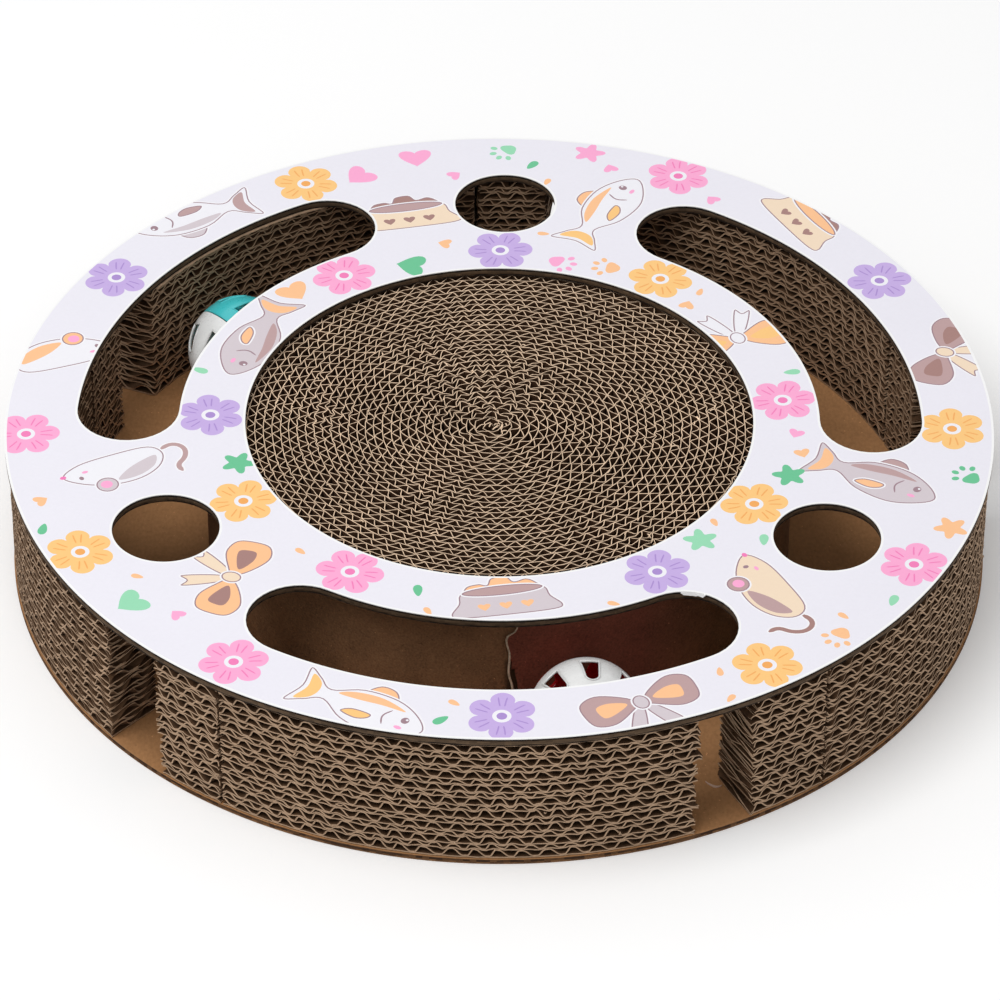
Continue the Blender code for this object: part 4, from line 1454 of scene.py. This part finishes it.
def make_balls(plastics, steel):
    shell = half_shell_mesh()
    lips = lip_mesh(plastics["white"])
    half = joined("half", [shell, lips])
    half.materials.clear()
    bell = bell_mesh()
    pellet = pellet_mesh()
    centres = {joint["child"]: Vector(joint["pos_m"]) for joint in frame["joints"] if joint.get("continuous")}
    for letter, ball in BALLS.items():
        centre = Matrix.Translation(centres[f"ball_{letter}"])
        pole = (Matrix.Rotation(math.radians(ball["azimuth"]), 4, "Z")
                @ Matrix.Rotation(math.radians(90.0 - ball["elevation"]), 4, "Y")
                @ Matrix.Rotation(math.radians(ball["twist"]), 4, "Z"))
        for colour, flip, share in (("white", 0.0, 1.0), (ball["second"], math.pi, ball["second_size"])):
            mesh = half.copy()
            mesh.transform(centre @ pole @ Matrix.Rotation(flip, 4, "X") @ Matrix.Scale(share, 4))
            smooth(mesh, 40.0)
            add_piece(f"ball_{letter}_{colour}_shell", mesh, plastics[colour], f"ball_{letter}",
                      f"{colour}_plastic", f"ball_{letter}_{colour}_half")
        for part, mesh in (("bell", bell), ("pellet", pellet)):
            node = f"ball_{letter}_{part}"
            low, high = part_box(node)
            copy = mesh.copy()
            copy.transform(Matrix.Translation((low + high) / 2))
            smooth(copy, 40.0)
            add_piece(f"{part}_{letter}_steel", copy, steel, f"{part}_{letter}", "bell_steel", node)


# Studio


def make_camera():
    elevation = math.radians(CAMERA_ELEVATION)
    back = Vector((0.0, -math.cos(elevation), math.sin(elevation)))
    right = Vector((1.0, 0.0, 0.0))
    up = back.cross(right)
    roll = math.radians(CAMERA_ROLL)
    tilted_right = right * math.cos(roll) + up * math.sin(roll)
    tilted_up = up * math.cos(roll) - right * math.sin(roll)
    data = bpy.data.cameras.new("camera")
    data.lens = CAMERA_LENS
    data.sensor_width = CAMERA_SENSOR
    data.clip_start, data.clip_end = CAMERA_REACH
    camera = placed("camera", data)
    turn = Matrix((tilted_right, tilted_up, back)).transposed()
    camera.matrix_world = Matrix.Translation(Vector(CAMERA_AIM) + back * CAMERA_DISTANCE) @ turn.to_4x4()
    bpy.context.scene.camera = camera


def make_studio():
    scene = bpy.context.scene
    scene.view_settings.view_transform = "Standard"
    world = bpy.data.worlds.new("studio")
    scene.world = world
    world.use_nodes = True
    tree = world.node_tree
    kinds = ("Camera", "Glossy", "Transmission")
    rays = [node_field(tree, "ShaderNodeLightPath", {}, f"Is {kind} Ray") for kind in kinds]
    seen = calc("MINIMUM", rays[0] + rays[1] + rays[2], 1.0)
    tree.nodes["Background"].inputs["Color"].default_value = (1.0, 1.0, 1.0, 1.0)
    feed(tree, tree.nodes["Background"].inputs["Strength"], between(WORLD_STRENGTH, 1.0, seen))
    data = bpy.data.lights.new("key", "AREA")
    data.energy = KEY_POWER
    data.size = KEY_SIZE
    key = placed("key", data)
    key.location = KEY_PLACE
    key.rotation_mode = "QUATERNION"
    key.rotation_quaternion = (Vector(KEY_AIM) - Vector(KEY_PLACE)).to_track_quat("-Z", "Y")
    bm = bmesh.new()
    bmesh.ops.create_circle(bm, cap_ends=True, radius=FLOOR_RADIUS, segments=64)
    mesh = mesh_from(bm, "floor")
    floor = placed("floor", mesh)
    floor.location.z = -FLOOR_DROP
    material, tree, shader = new_material("floor_paper", 0.9, Specular_IOR_Level=0.1)
    shader.inputs["Base Color"].default_value = (FLOOR_WHITE, FLOOR_WHITE, FLOOR_WHITE, 1.0)
    shader.inputs["Emission Color"].default_value = (1.0, 1.0, 1.0, 1.0)
    to_camera = node_field(tree, "ShaderNodeLightPath", {}, "Is Camera Ray")
    feed(tree, shader.inputs["Emission Strength"], to_camera * FLOOR_GLOW)
    material.cycles.emission_sampling = "NONE"
    mesh.materials.append(material)


def main():
    make_camera()
    make_studio()
    group = paper_group()
    boards = {name: board_material(name, group, "tone" if name == "band_paper" else None) for name in BOARDS}
    make_boards(boards["base_board"], boards["panel_board"], boards["torn_paper"])
    make_wall(boards["wall_board"])
    make_coil(boards["coil_board"])
    make_band(boards["band_paper"])
    make_print(print_material())
    make_balls({colour: plastic_material(colour) for colour in PLASTIC_COLOURS}, steel_material())


main()
